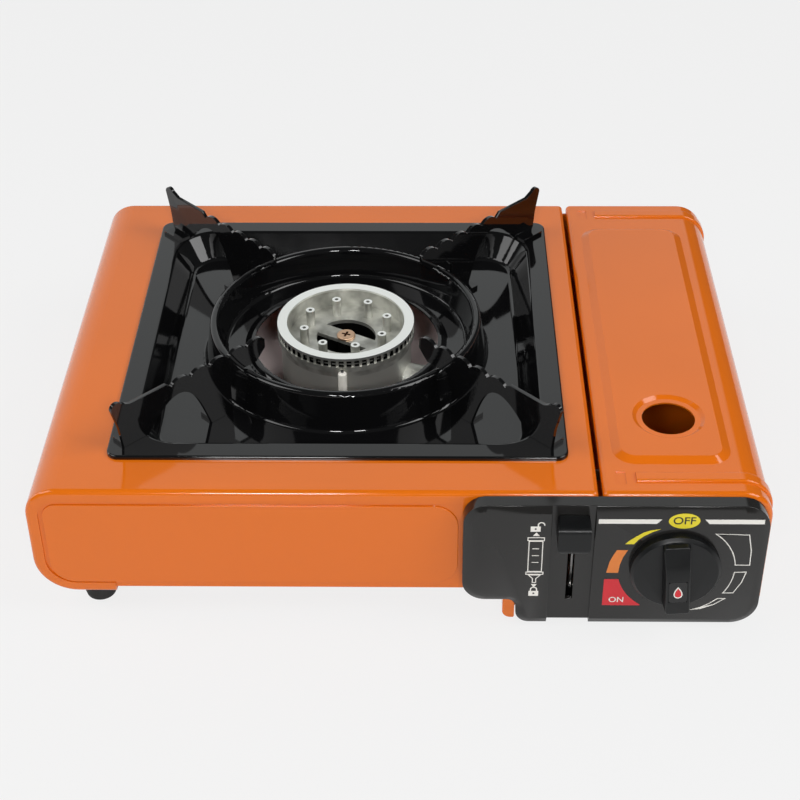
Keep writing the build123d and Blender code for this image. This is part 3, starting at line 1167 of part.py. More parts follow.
def make_cartridge_catch():
    """Bent plate: slanted slot for the slider's pin, arm through the partition, fork at the collar."""
    slot_low = PIN_HEIGHT - LEVER_TRAVEL
    half = SLIDER_PIN + PIN_FIT
    edge = half + CATCH_EDGE
    right = CATCH_LEFT + BRACKET
    sheet = [(PIN_Y - edge, PIN_HEIGHT + edge), (PIN_Y - edge, slot_low - edge),
             (PIN_Y + CATCH_TRAVEL + edge, slot_low - edge), (PIN_Y + CATCH_TRAVEL + edge, PIN_HEIGHT + edge)]
    catch = along_x(outline(sheet, [edge / 2] * 4), CATCH_LEFT, right)
    slot = SlotCenterToCenter(hypot(LEVER_TRAVEL, CATCH_TRAVEL), 2 * half,
                              rotation=90 + degrees(atan(CATCH_TRAVEL / LEVER_TRAVEL)))
    middle = Pos(PIN_Y + CATCH_TRAVEL / 2, PIN_HEIGHT - LEVER_TRAVEL / 2)
    catch -= along_x(middle * slot, CATCH_LEFT - PAST, right + PAST)
    arm = (AXIS_Z - CATCH_ARM_HEIGHT / 2, AXIS_Z + CATCH_ARM_HEIGHT / 2)
    catch += block(CATCH_LEFT, right, PIN_Y + CATCH_TRAVEL + half, CATCH_Y + BRACKET, *arm)
    catch += block(CATCH_LEFT, AXIS_X - FORK_IN, CATCH_Y, CATCH_Y + BRACKET, *arm)
    foot = TRAY_FLOOR + FOOT_ROOM
    fork = Circle(FORK_OUT) + Pos(0, (foot - AXIS_Z) / 2) * Rectangle(FORK_FOOT, AXIS_Z - foot)
    fork -= Circle(FORK_IN)
    fork -= Pos(0, FORK_OUT / 2) * Rectangle(2 * FORK_IN, FORK_OUT)
    return catch + along_y(Pos(AXIS_X, AXIS_Z) * fork, CATCH_Y, CATCH_Y + BRACKET)


def make_cartridge_locator():
    """Upright plate round the socket, with the key that fits the cartridge's notch."""
    half = FORK_OUT
    plate = block(AXIS_X - half, AXIS_X + half, LOCATOR_Y, LOCATOR_Y + BRACKET, TRAY_FLOOR, AXIS_Z + half)
    foot_front = REG_FRONT + REG_LENGTH / 2
    plate += block(AXIS_X - half, AXIS_X + half, foot_front, LOCATOR_Y, TRAY_FLOOR, TRAY_FLOOR + BRACKET)
    key_low = AXIS_Z + KEY_RADIUS
    key = (AXIS_X - KEY_WIDTH / 2, AXIS_X + KEY_WIDTH / 2, LOCATOR_Y, LOCATOR_Y + BRACKET + KEY_LENGTH)
    plate += block(*key, key_low, key_low + KEY_THICK)
    return plate - rod((AXIS_X, LOCATOR_Y - PAST, AXIS_Z), (0, 1, 0), FLANGE, INLET + LOCATOR_HOLE_ROOM)


LID_LEFT = X_SEAM + LID_GAP / 2
LID_UNDER = LID_BASE - 2 * RIM_WIDTH
LID_CORNERS = rectangle((LID_LEFT, LID_UNDER), (LID_WALL, BODY_TOP))
LID_RADII = [RIM_BEND, RIM_BEND, TOP_CORNER, RIM_BEND]
BEAD_PLACES = (Y_FRONT + BEAD_FROM_RIM, Y_BACK - BEAD_FROM_RIM)


def lid_plateau(step):
    """Raised middle of the lid, a step inside its outer face."""
    place = Pos(X_SEAM + PLATEAU_FROM_SEAM, Y_FRONT + PLATEAU_FROM_FRONT)
    base = RectangleRounded(PLATEAU_WIDTH - 2 * step, PLATEAU_LENGTH - 2 * step, PLATEAU_CORNER)
    low = BODY_TOP - step - PAST
    foot = along_z(place * base, low, BODY_TOP - step)
    slope = degrees(atan(PLATEAU_SLOPE / PLATEAU_RISE))
    crown = extrude(Plane.XY.offset(BODY_TOP - step) * place * base, amount=PLATEAU_RISE, taper=slope)
    return fillet((foot + crown).edges().group_by(Axis.Z)[-1], PLATEAU_RISE / 2)


def lid_bead(y, step):
    """Raised bead across the top and down the side wall, a step inside its outer face."""
    grow = BEAD_RISE - step
    section = outline(inset(LID_CORNERS, -grow), [radius + grow for radius in LID_RADII])
    half = BEAD_WIDTH / 2 - step
    band = along_y(section, y - half, y + half)
    band = fillet(end_edges(band), BEAD_RISE - step / 2)
    left = LID_LEFT + BEAD_START + step
    keep = block(left, X_RIGHT + PAST, y - BEAD_WIDTH, y + BEAD_WIDTH, LID_BASE, BODY_TOP + FLANGE)
    return band & keep


def lid_dish(step):
    """Shallow dish round the finger hole, a step inside its outer face."""
    x = X_SEAM + FINGER_FROM_SEAM
    top = BODY_TOP + PLATEAU_RISE - step
    place = (x, Y_FRONT + FINGER_FROM_FRONT, top - DISH_DEPTH)
    radius = DISH / 2 + step
    slope = DISH_SLOPE * (DISH_DEPTH + PAST) / DISH_DEPTH
    return cone(place, (0, 0, 1), DISH_DEPTH + PAST, radius - DISH_SLOPE, radius - DISH_SLOPE + slope)


def lid_dimples(step):
    """Small pressed pads beside the beads, a step inside the outer face."""
    x = LID_LEFT + DIMPLE_FROM_EDGE
    half = (DIMPLE_WIDTH + step) / 2
    reach = (DIMPLE_LENGTH + step) / 2
    low = BODY_TOP - DIMPLE_DEPTH - step
    high = low + DIMPLE_DEPTH + SHEET
    return [block(x - half, x + half, y - reach, y + reach, low, high) for y in BEAD_PLACES]


def lid_form(step):
    """Whole lid form, a step inside its outer face."""
    form = rimmed_body(LID_CORNERS, LID_RADII, step) + lid_plateau(step)
    for y in BEAD_PLACES:
        form += lid_bead(y, step)
    form -= lid_dish(step)
    return form - lid_dimples(step)


def make_cartridge_lid():
    """Stamped cover over the cartridge bay."""
    lid = lid_form(0) - lid_form(SHEET)
    lid -= rim_openings(LID_CORNERS, LID_RADII)
    ends = (Y_FRONT - PAST, Y_BACK + PAST)
    low = LID_UNDER - PAST
    lid -= block(LID_LEFT - PAST, X_RIGHT + PAST, *ends, low, LID_BASE)
    lid -= block(LID_LEFT - PAST, LID_LEFT + RIM_WIDTH + PAST, *ends, low, BODY_TOP - LID_FLANGE)
    x = X_SEAM + FINGER_FROM_SEAM
    hole = rod((x, Y_FRONT + FINGER_FROM_FRONT, BODY_TOP - FLANGE), (0, 0, 1), 2 * FLANGE, FINGER_HOLE / 2)
    return lid - hole


HINGE_PLACES = (Y_FRONT + HINGE_FROM_END, Y_BACK - HINGE_FROM_END)
HINGE_SPAN = KNUCKLE_LENGTH + 2 * KNUCKLE_GAP + KNUCKLE_LENGTH


def knuckle(y_low, y_high):
    """Knuckle round the hinge axis, without its hole."""
    return rod((HINGE_X, y_low, HINGE_HEIGHT), (0, 1, 0), y_high - y_low, KNUCKLE)


def pin_hole(y_low, y_high, room):
    """Cut for the hinge pin."""
    return rod((HINGE_X, y_low - PAST, HINGE_HEIGHT), (0, 1, 0), y_high - y_low + 2 * PAST, HINGE_PIN + room)


def make_lid_hinge_leaves():
    """Leaves on the inside of the lid's wall, each with one knuckle."""
    inner = LID_WALL - SHEET
    leaves = []
    for y in HINGE_PLACES:
        y_low = y - KNUCKLE_LENGTH / 2
        y_high = y + KNUCKLE_LENGTH / 2
        leaf = knuckle(y_low, y_high)
        leaf += block(inner - LEAF, inner, y_low, y_high, HINGE_HEIGHT, LID_BASE + LEAF_HEIGHT)
        leaf += block(HINGE_X, inner, y_low, y_high, HINGE_HEIGHT, HINGE_HEIGHT + KNUCKLE)
        leaves.append(leaf - pin_hole(y_low, y_high, HINGE_FIT))
    return leaves


def make_tray_hinge_leaves():
    """Leaves on the tray's right wall, each with two knuckles round the lid's."""
    leaves = []
    for y in HINGE_PLACES:
        y_low = y - HINGE_SPAN / 2
        y_high = y + HINGE_SPAN / 2
        leaf = knuckle(y_low, y_high)
        low = HINGE_HEIGHT - KNUCKLE
        leaf += block(TRAY_RIGHT, HINGE_X, y_low, y_high, low, low + LEAF)
        half = KNUCKLE_LENGTH / 2 + KNUCKLE_GAP
        room = KNUCKLE + LEAF
        leaf -= block(HINGE_X - room, X_RIGHT, y - half, y + half, HINGE_HEIGHT - room, HINGE_HEIGHT + room)
        high = TRAY_BASE + TRAY_RIGHT_WALL
        leaf += block(TRAY_RIGHT, TRAY_RIGHT + LEAF, y_low, y_high, TRAY_FLOOR, high)
        leaves.append(leaf - pin_hole(y_low, y_high, 0))
    return leaves


def make_hinge_pins():
    """Pins fixed in the tray's knuckles."""
    return [rod((HINGE_X, y - HINGE_SPAN / 2, HINGE_HEIGHT), (0, 1, 0), HINGE_SPAN, HINGE_PIN)
            for y in HINGE_PLACES]


def pan_layer(side, corner, height):
    """Rounded square across the pan at a height from its rim."""
    return Plane.XY.offset(height) * RectangleRounded(side, side, corner)


def make_drip_pan():
    """Enamelled pan: square rim, sloped basin and a raised ring round the burner."""
    top_side = PAN_SIDE - 2 * PAN_RIM
    floor_side = top_side - 2 * BASIN_SLOPE
    pan = extrude(pan_layer(PAN_SIDE, PAN_CORNER, -PAN_STEP), amount=PAN_STEP)
    pan = fillet(pan.edges().group_by(Axis.Z)[-1], PAN_STEP / 2)
    under = PAN_SIDE - 2 * PAN_SHEET
    pan -= extrude(pan_layer(under, PAN_CORNER - PAN_SHEET, -PAN_STEP), amount=PAN_STEP - PAN_SHEET)
    grow = 2 * PAN_SHEET
    outer = loft([pan_layer(floor_side + grow, BASIN_FLOOR_CORNER + PAN_SHEET, -PAN_DEPTH - PAN_SHEET),
                  pan_layer(top_side + grow, BASIN_CORNER + PAN_SHEET, -PAN_SHEET)])
    inner = loft([pan_layer(floor_side, BASIN_FLOOR_CORNER, -PAN_DEPTH),
                  pan_layer(top_side, BASIN_CORNER, 0)])
    pan = pan + outer - inner
    mouth = pan.edges().group_by(Axis.Z)[-1]
    mouth = mouth.filter_by(lambda edge: abs(edge.center().X) < top_side / 2 + PAST
                            and abs(edge.center().Y) < top_side / 2 + PAST)
    pan = fillet(mouth, PAN_SHEET * 2)
    floor_edges = pan.edges().filter_by(lambda edge: abs(edge.center().Z + PAN_DEPTH) < PAN_SHEET / 4)
    pan = fillet(floor_edges, PAN_SHEET * 3)
    root = RING_ROOT + RING_BENDS * 2
    pan -= Pos(0, 0, -PAN_DEPTH) * Cylinder(RING_ROOT + RING_BENDS, PAN_STEP * 4)
    path = [(root, -PAN_DEPTH), (RING_ROOT, -PAN_DEPTH), (RING_CREST_OUT, RING_RISE),
            (RING_CREST_IN, RING_RISE), (LEDGE_OUT, -LEDGE_DROP), (LIP_ROOT, -LEDGE_DROP - PAN_SHEET),
            (PAN_OPENING + LIP_RISE, LIP_RISE - LEDGE_DROP - PAN_SHEET),
            (PAN_OPENING, LIP_RISE - LEDGE_DROP - PAN_SHEET)]
    section = ribbon(path, [RING_BENDS] * (len(path) - 2), PAN_SHEET)
    pan += revolve(Plane.XZ * section, Axis.Z)
    return Pos(PAN_X, PAN_Y, PAN_TOP) * pan


def support_blade():
    """Side view of one support, in (radius, height above the pan rim)."""
    valley = SUPPORT_TOP - TOOTH_RISE
    teeth_end = SUPPORT_INNER + TOOTH_COUNT * TOOTH_PITCH
    edges = []
    for i in range(TOOTH_COUNT):
        start = SUPPORT_INNER + i * TOOTH_PITCH
        edges.append(ThreePointArc((start, valley), (start + TOOTH_PITCH / 2, SUPPORT_TOP),
                                   (start + TOOTH_PITCH, valley)))
    tip_in = (TIP_AT - TIP_ROUND, TIP_TOP - TIP_ROUND / 2)
    tip_out = (TIP_AT + TIP_ROUND, TIP_TOP - TIP_ROUND)
    edges.append(Polyline((teeth_end, valley), (teeth_end + TOOTH_RISE, SUPPORT_TOP),
                          (LEVEL_END, SUPPORT_TOP), tip_in))
    edges.append(ThreePointArc(tip_in, (TIP_AT, TIP_TOP), tip_out))
    edges.append(Polyline(tip_out, (OUTER_LEG_OUT + TIP_ROUND / 2, ARCH_TOP + TIP_ROUND), (OUTER_LEG_OUT, 0),
                          (OUTER_LEG_IN, 0)))
    peak = (INNER_LEG_OUT + ARCH_RUN, ARCH_TOP)
    edges.append(Spline((OUTER_LEG_IN, 0), peak, (INNER_LEG_OUT + ARCH_RUN / 2, 0),
                        (INNER_LEG_OUT, -PAN_DEPTH)))
    crown = RING_CREST_OUT + RING_CREST_WIDTH
    edges.append(Polyline((INNER_LEG_OUT, -PAN_DEPTH), (INNER_LEG_IN, -PAN_DEPTH),
                          (INNER_LEG_IN, BLADE_LOW / 2), (crown, BLADE_LOW),
                          (SUPPORT_INNER + TOOTH_PITCH / 2, BLADE_LOW),
                          (SUPPORT_INNER, BLADE_LOW + TOOTH_PITCH / 2), (SUPPORT_INNER, valley)))
    return make_face(edges)


def make_pan_support(angle, side):
    """One support blade with its two welded tabs, on a diagonal of the pan; side turns the tabs."""
    half = SUPPORT_SHEET / 2
    blade = along_y(support_blade(), -half, half)
    across = sorted((side * half, side * TAB_WIDTH))
    blade += block(INNER_LEG_IN, INNER_LEG_OUT, *across, -PAN_DEPTH, -PAN_DEPTH + SUPPORT_SHEET)
    blade += block(OUTER_LEG_IN, OUTER_LEG_OUT, *across, 0, SUPPORT_SHEET)
    return Pos(PAN_X, PAN_Y, PAN_TOP) * Rot(0, 0, angle) * blade


def make_foot(x, y, sheet_low, sheet_high):
    """Rubber foot pushed through a hole in the sheet."""
    foot = cone((x, y, 0), (0, 0, 1), sheet_low, FOOT_BASE, FOOT_TOP)
    foot = fillet(foot.edges().sort_by(Axis.Z)[0], min(PAST, sheet_low / 4))
    foot += rod((x, y, sheet_low), (0, 0, 1), sheet_high - sheet_low, FOOT_NECK)
    return foot + cone((x, y, sheet_high), (0, 0, 1), FOOT_BULB_HEIGHT, FOOT_BULB, FOOT_NECK)


PARTS = {
    "body_shell": make_body_shell(),
    "front_panel": make_front_panel(),
    "rear_panel": make_rear_panel(),
    "base_plate": make_base_plate(),
    "cartridge_tray": make_cartridge_tray(),
    "partition_wall": make_partition_wall(),
    "heat_shield": make_heat_shield(),
    "burner_bracket": make_burner_bracket(),
    "bracket_screws": make_bracket_screws(),
    "burner_head": make_burner_head(),
    "burner_base": make_burner_base(),
    "burner_screw": make_burner_screw(),
    "gas_nozzle": make_gas_nozzle(),
    "nozzle_bracket": make_nozzle_bracket(),
    "gas_tube": make_gas_tube(),
    "tube_nut": make_tube_nut(),
    "electrode_ceramic": make_electrode_ceramic(),
    "electrode_pin": make_electrode_pin(),
    "electrode_bracket": make_electrode_bracket(),
    "ignition_lead": make_ignition_lead(),
    "control_panel": make_control_panel(),
    "panel_screws": make_panel_screws(),
    "control_knob": make_control_knob(),
    "knob_window": make_knob_window(),
    "valve_spindle": make_valve_spindle(),
    "ignition_cam": make_ignition_cam(),
    "igniter_body": make_igniter_body(),
    "igniter_plunger": make_igniter_plunger(),
    "igniter_spring": make_igniter_spring(),
    "igniter_bracket": make_igniter_bracket(),
    "regulator_bracket": make_regulator_bracket(),
    "regulator_body": make_regulator_body(),
    "regulator_cover": make_regulator_cover(),
    "regulator_screws": make_regulator_screws(),
    "cartridge_seal": make_cartridge_seal(),
    "lever_knob": make_lever_knob(),
    "lever_slider": make_lever_slider(),
    "slider_pin": make_slider_pin(),
    "lever_guide": make_lever_guide(),
    "cartridge_catch": make_cartridge_catch(),
    "cartridge_locator": make_cartridge_locator(),
    "cartridge_lid": make_cartridge_lid(),
    "lid_hinge_leaves": make_lid_hinge_leaves(),
    "tray_hinge_leaves": make_tray_hinge_leaves(),
    "hinge_pins": make_hinge_pins(),
    "drip_pan": make_drip_pan(),
    "pan_support_back_right": make_pan_support(45, -1),
    "pan_support_back_left": make_pan_support(135, 1),
    "pan_support_front_left": make_pan_support(225, -1),
    "pan_support_front_right": make_pan_support(315, 1),
    "foot_front_left": make_foot(*LEFT_FEET[0], LEFT_BASE, WRAP_TOP + SHEET),
    "foot_back_left": make_foot(*LEFT_FEET[1], LEFT_BASE, WRAP_TOP + SHEET),
    "foot_front_right": make_foot(*RIGHT_FEET[0], TRAY_BASE, TRAY_FLOOR),
    "foot_back_right": make_foot(*RIGHT_FEET[1], TRAY_BASE, TRAY_FLOOR),
}

os.makedirs("parts", exist_ok=True)
for name, piece in PARTS.items():
    solids = piece if isinstance(piece, list) else piece.solids()
    shape = solids[0] if len(solids) == 1 else Compound(children=list(solids))
    export_step(shape, f"parts/{name}.step")
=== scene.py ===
import bmesh
import bpy
import json
from math import cos, pi, radians, sin
from mathutils import Matrix, Vector


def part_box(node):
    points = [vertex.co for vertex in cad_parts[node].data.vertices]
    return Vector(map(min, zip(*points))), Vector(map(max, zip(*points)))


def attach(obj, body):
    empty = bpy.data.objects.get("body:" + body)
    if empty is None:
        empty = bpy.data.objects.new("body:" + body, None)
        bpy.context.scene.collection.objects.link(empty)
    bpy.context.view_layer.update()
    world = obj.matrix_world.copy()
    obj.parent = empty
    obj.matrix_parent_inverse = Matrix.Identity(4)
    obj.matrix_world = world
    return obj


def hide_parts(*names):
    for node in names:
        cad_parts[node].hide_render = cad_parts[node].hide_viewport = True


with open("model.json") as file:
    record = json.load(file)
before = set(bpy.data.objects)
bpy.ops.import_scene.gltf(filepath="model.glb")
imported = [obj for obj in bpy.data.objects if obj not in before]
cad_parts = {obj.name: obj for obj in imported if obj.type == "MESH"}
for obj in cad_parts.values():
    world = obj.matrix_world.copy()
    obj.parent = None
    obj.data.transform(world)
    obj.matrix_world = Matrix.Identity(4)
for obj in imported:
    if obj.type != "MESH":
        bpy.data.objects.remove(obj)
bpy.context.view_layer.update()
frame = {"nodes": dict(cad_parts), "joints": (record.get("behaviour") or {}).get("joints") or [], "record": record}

# Driving values: lengths in millimetres, angles in degrees, colours as sRGB bytes
MM = 0.001
IMAGE = 800                     # picture side in pixels
FOCAL_PIXELS = 1666.7
SENSOR = 36.0
CAMERA_PITCH = 36.28            # looking down
CAMERA_YAW = -1.12
CAMERA_ROLL = 0.51
CAMERA_PLACE = (12.5, -711.15, 560.7)

BACKDROP = (243, 243, 243)
ORANGE = (224, 110, 14)
BLACK_ENAMEL = (13, 13, 14)
CHARCOAL = (32, 31, 30)
BLACK_PLASTIC = (13, 14, 15)
WINDOW = (22, 22, 23)
ALUMINIUM = (218, 218, 211)
SMUDGED = (150, 150, 143)       # casting skin in its darker patches
MACHINED = (248, 249, 245)
ZINC = (196, 194, 192)
SHIELD = (244, 226, 224)
STEEL = (176, 176, 178)
BRASS = (204, 150, 92)
COPPER = (226, 188, 156)
RECESS_SHADE = (92, 58, 38)           # painted shade in the cross recess of the burner screw
CERAMIC = (236, 232, 222)
WHITE_PLASTIC = (222, 219, 210)
INSULATION = (190, 186, 176)
RUBBER = (22, 22, 22)
PRINT_WHITE = (236, 233, 226)
PRINT_YELLOW = (232, 214, 44)
PRINT_ORANGE = (226, 128, 52)
PRINT_RED = (212, 34, 46)

SUPPORT_EDGE = 0.55             # rounding of the enamelled supports' edges
MOULDED_EDGES = {"control_panel": 0.7, "control_knob": 0.4, "lever_knob": 0.5}
EDGE_ANGLE = 28.0               # edges that turn more than this are rounded
SHARP_ANGLE = 36.0              # edges that turn more than this stay sharp in the shading
FLAT_ANGLE = 0.4                # faces that turn less than this are merged before rounding
WELD = 0.002                    # points this close are merged
INK = 0.06                      # thickness of printed ink
INK_LIFT = 0.02
CAPITAL = 0.72                  # height of a capital over the font's size
STROKE_GAIN = 0.012             # thickening of a printed letter over its height
MITRE_LIMIT = 0.35              # keeps a sharp corner of a printed outline short


def linear(colour):
    """Scene-linear RGBA of an sRGB byte colour."""
    parts = [c / 255 for c in colour]
    return (*[p / 12.92 if p <= 0.04045 else ((p + 0.055) / 1.055) ** 2.4 for p in parts], 1.0)


def joint(name):
    """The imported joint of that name."""
    return next(j for j in frame["joints"] if j["name"] == name)


KNOB_AXIS = [v / MM for v in joint("knob_turn")["pos_m"]]
FASCIA_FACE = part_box("control_panel")[0][1] / MM
WINDOW_LOW, WINDOW_HIGH = [tuple(c / MM for c in corner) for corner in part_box("knob_window")]
BURNER_LOW, BURNER_HIGH = [tuple(c / MM for c in corner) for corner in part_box("burner_head")]
BURNER_MIDDLE = [(low + high) / 2 for low, high in zip(BURNER_LOW, BURNER_HIGH)]
BURNER_TOP = BURNER_HIGH[2]
RING_RADIUS = (BURNER_HIGH[0] - BURNER_LOW[0]) / 2
RING_WIDTH = 5.0
SLOT_RECESS = 0.7
SLOT_BAND = (1.4, 5.4)          # flame slots, below the ring's top; the painted slot shade lies in this band
SLOT_MARGIN = 0.2               # the painted slot shade keeps this far from the ring's two walls
# Painted shade: dark colour inside the flame slots and the burner's middle opening
PAINTED_SHADE = (24, 23, 22)
MACHINED_DEPTH = 1.1
MACHINED_BLEND = 0.15
MACHINED_ROUGHNESS = 0.28
CAST_METALLIC = 0.92
CAST_ROUGHNESS = 0.50
THROAT_SHARE = 0.46             # painted shade covers the middle opening with its wall, over the ring's radius
SCREW_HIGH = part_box("burner_screw")[1][2] / MM
RECESS_REACH = 2.6              # painted shade in the cross recess reaches this far from the screw's axis
RECESS_DEPTH = 0.2
SLOT_VIEW_X = (75.0, 87.0)      # painted shade on the sheet seen through the lever's slot
SLOT_VIEW_Z = (3.0, 52.0)
SLOT_VIEW_DEPTH = 22.0          # behind the control panel's face
MASK_EDGE = 0.1                 # soft edge of a change of finish or of painted shade
NOISE_RANGE = (0.3, 0.7)        # where most of a noise's values lie


# Materials
class Shader:
    """A node material with a Principled surface and short calls for its inputs."""

    def __init__(self, name):
        self.material = bpy.data.materials.new(name)
        self.material.use_nodes = True
        self.tree = self.material.node_tree
        self.surface = self.tree.nodes["Principled BSDF"]
        self.place = self.tree.nodes.new("ShaderNodeTexCoord").outputs["Object"]

    def set(self, **values):
        for name, value in values.items():
            self.surface.inputs[name.replace("_", " ")].default_value = value

    def link(self, source, target):
        self.tree.links.new(source, target)

    def feed(self, **sources):
        """Link sockets to the surface's inputs."""
        for name, source in sources.items():
            self.link(source, self.surface.inputs[name.replace("_", " ")])

    def noise(self, scale, detail=2.0, stretch=(1, 1, 1)):
        """Noise in object space; the scale counts waves per metre."""
        mapping = self.tree.nodes.new("ShaderNodeMapping")
        mapping.inputs["Scale"].default_value = stretch
        self.link(self.place, mapping.inputs["Vector"])
        node = self.tree.nodes.new("ShaderNodeTexNoise")
        node.inputs["Scale"].default_value = scale
        node.inputs["Detail"].default_value = detail
        self.link(mapping.outputs["Vector"], node.inputs["Vector"])
        return node.outputs["Fac"]

    def spread(self, value, low, high):
        """Map noise to a range."""
        node = self.tree.nodes.new("ShaderNodeMapRange")
        node.inputs["From Min"].default_value = NOISE_RANGE[0]
        node.inputs["From Max"].default_value = NOISE_RANGE[1]
        node.inputs["To Min"].default_value = low
        node.inputs["To Max"].default_value = high
        self.link(value, node.inputs["Value"])
        return node.outputs["Result"]

    def blend(self, factor, first, second):
        """Blend of two colours by a factor; each is a value or a socket."""
        node = self.tree.nodes.new("ShaderNodeMix")
        node.data_type = "RGBA"
        self.link(factor, node.inputs["Factor"])
        for letter, value in (("A", first), ("B", second)):
            socket = next(s for s in node.inputs if s.name == letter and s.type == "RGBA")
            if isinstance(value, tuple):
                socket.default_value = value
            else:
                self.link(value, socket)
        return next(s for s in node.outputs if s.type == "RGBA")

    def bump(self, height, strength, distance):
        """Surface relief from a height, in millimetres."""
        node = self.tree.nodes.new("ShaderNodeBump")
        node.inputs["Strength"].default_value = strength
        node.inputs["Distance"].default_value = distance * MM
        self.link(height, node.inputs["Height"])
        self.feed(Normal=node.outputs["Normal"])

    def tone(self, colour, swing, scale):
        """Base colour that drifts a little over the surface."""
        dark = linear([c * (1 - swing) for c in colour])
        light = linear([min(255, c * (1 + swing)) for c in colour])
        self.feed(Base_Color=self.blend(self.noise(scale), dark, light))

    def total(self, values):
        """Sum of values, at most one."""
        result = values[0]
        for value in values[1:]:
            node = self.tree.nodes.new("ShaderNodeMath")
            node.use_clamp = True
            self.link(result, node.inputs[0])
            self.link(value, node.inputs[1])
            result = node.outputs["Value"]
        return result

    def product(self, first, second):
        """Product of two masks."""
        node = self.tree.nodes.new("ShaderNodeMath")
        node.operation = "MULTIPLY"
        self.link(first, node.inputs[0])
        self.link(second, node.inputs[1])
        return node.outputs["Value"]

    def step(self, value, limit, rising, blend=MASK_EDGE):
        """Mask that turns from zero to one at a limit, or back, in millimetres."""
        node = self.tree.nodes.new("ShaderNodeMapRange")
        node.inputs["From Min"].default_value = (limit - blend) * MM
        node.inputs["From Max"].default_value = (limit + blend) * MM
        node.inputs["To Min"].default_value = 0.0 if rising else 1.0
        node.inputs["To Max"].default_value = 1.0 if rising else 0.0
        self.link(value, node.inputs["Value"])
        return node.outputs["Result"]

    def along(self, letter):
        """Place along an axis."""
        split = self.tree.nodes.new("ShaderNodeSeparateXYZ")
        self.link(self.place, split.inputs["Vector"])
        return split.outputs[letter]

    def radius(self):
        """Distance from the burner's axis."""
        flat = self.tree.nodes.new("ShaderNodeVectorMath")
        flat.operation = "MULTIPLY"
        flat.inputs[1].default_value = (1, 1, 0)
        self.link(self.place, flat.inputs[0])
        far = self.tree.nodes.new("ShaderNodeVectorMath")
        far.operation = "DISTANCE"
        far.inputs[1].default_value = (BURNER_MIDDLE[0] * MM, BURNER_MIDDLE[1] * MM, 0)
        self.link(flat.outputs["Vector"], far.inputs[0])
        return far.outputs["Value"]

    def above(self, height, blend=MASK_EDGE):
        return self.step(self.along("Z"), height, True, blend)

    def below(self, height):
        return self.step(self.along("Z"), height, False)

    def outside(self, radius):
        return self.step(self.radius(), radius, True)

    def within(self, radius):
        return self.step(self.radius(), radius, False)

    def ripple(self):
        """Faint waves of a fired enamel."""
        self.bump(self.noise(70, 0.0), 0.012, 0.2)

    def blasted(self):
        """Grain of a blasted casting."""
        self.bump(self.noise(1500, 4.0), 0.12, 0.10)


def enamel(name, colour, roughness, swing=0.03, coat=0.0):
    """Fired enamel: smooth, glossy, with a faint orange-peel ripple."""
    shader = Shader(name)
    shader.tone(colour, swing, 14)
    shader.set(Coat_Weight=coat, Coat_Roughness=0.05, IOR=1.5)
    shader.feed(Roughness=shader.spread(shader.noise(60), roughness * 0.85, roughness * 1.15))
    shader.ripple()
    return shader.material


def moulded(name, colour, roughness, grain=0.10, index=1.46):
    """Moulded plastic with a fine spark-eroded grain."""
    shader = Shader(name)
    shader.tone(colour, 0.05, 30)
    shader.set(IOR=index)
    shader.feed(Roughness=shader.spread(shader.noise(90), roughness * 0.88, roughness * 1.12))
    shader.bump(shader.noise(2600, 3.0), grain, 0.08)
    return shader.material


def metal(name, colour, roughness, stretch=(1, 1, 1), scale=900, relief=0.05):
    """Bare metal; a stretched noise gives rolling or brushing marks."""
    shader = Shader(name)
    shader.tone(colour, 0.04, 25)
    shader.set(Metallic=1.0)
    marks = shader.noise(scale, 3.0, stretch)
    shader.feed(Roughness=shader.spread(marks, roughness * 0.75, roughness * 1.25))
    shader.bump(marks, relief, 0.05)
    return shader.material


def cast_burner(name):
    """Blasted casting; the ring and the post ends are machined bright, the slots get painted shade inside."""
    shader = Shader(name)
    shader.set(Metallic=CAST_METALLIC)
    bright = shader.above(BURNER_TOP - MACHINED_DEPTH, MACHINED_BLEND)
    high, low = (BURNER_TOP - depth for depth in SLOT_BAND)
    band = shader.product(shader.above(low), shader.below(high))
    inner = RING_RADIUS - RING_WIDTH + SLOT_MARGIN
    outer = RING_RADIUS - SLOT_RECESS - SLOT_MARGIN
    gallery = shader.product(shader.outside(inner), shader.within(outer))
    skin = shader.blend(shader.spread(shader.noise(110), 0.1, 1.2), linear(SMUDGED), linear(ALUMINIUM))
    colour = shader.blend(bright, skin, linear(MACHINED))
    # painted shade inside the flame slots
    colour = shader.blend(shader.product(band, gallery), colour, linear(PAINTED_SHADE))
    roughness = shader.tree.nodes.new("ShaderNodeMapRange")
    roughness.inputs["To Min"].default_value = CAST_ROUGHNESS
    roughness.inputs["To Max"].default_value = MACHINED_ROUGHNESS
    shader.link(bright, roughness.inputs["Value"])
    shader.feed(Base_Color=colour, Roughness=roughness.outputs["Result"])
    shader.blasted()
    return shader.material


def cast_base(name):
    """Casting under the burner, with painted shade inside its middle opening."""
    shader = Shader(name)
    shader.set(Metallic=CAST_METALLIC, Roughness=CAST_ROUGHNESS)
    inside = shader.within(RING_RADIUS * THROAT_SHARE)
    # painted shade in the middle opening
    shader.feed(Base_Color=shader.blend(inside, linear(ALUMINIUM), linear(PAINTED_SHADE)))
    shader.blasted()
    return shader.material


def screw_plate(name):
    """Copper-coloured plating, with painted shade in the cross recess."""
    shader = Shader(name)
    shader.set(Metallic=1.0, Roughness=0.42)
    recess = shader.product(shader.within(RECESS_REACH), shader.below(SCREW_HIGH - RECESS_DEPTH))
    # painted shade in the cross recess
    shader.feed(Base_Color=shader.blend(recess, linear(COPPER), linear(RECESS_SHADE)))
    return shader.material


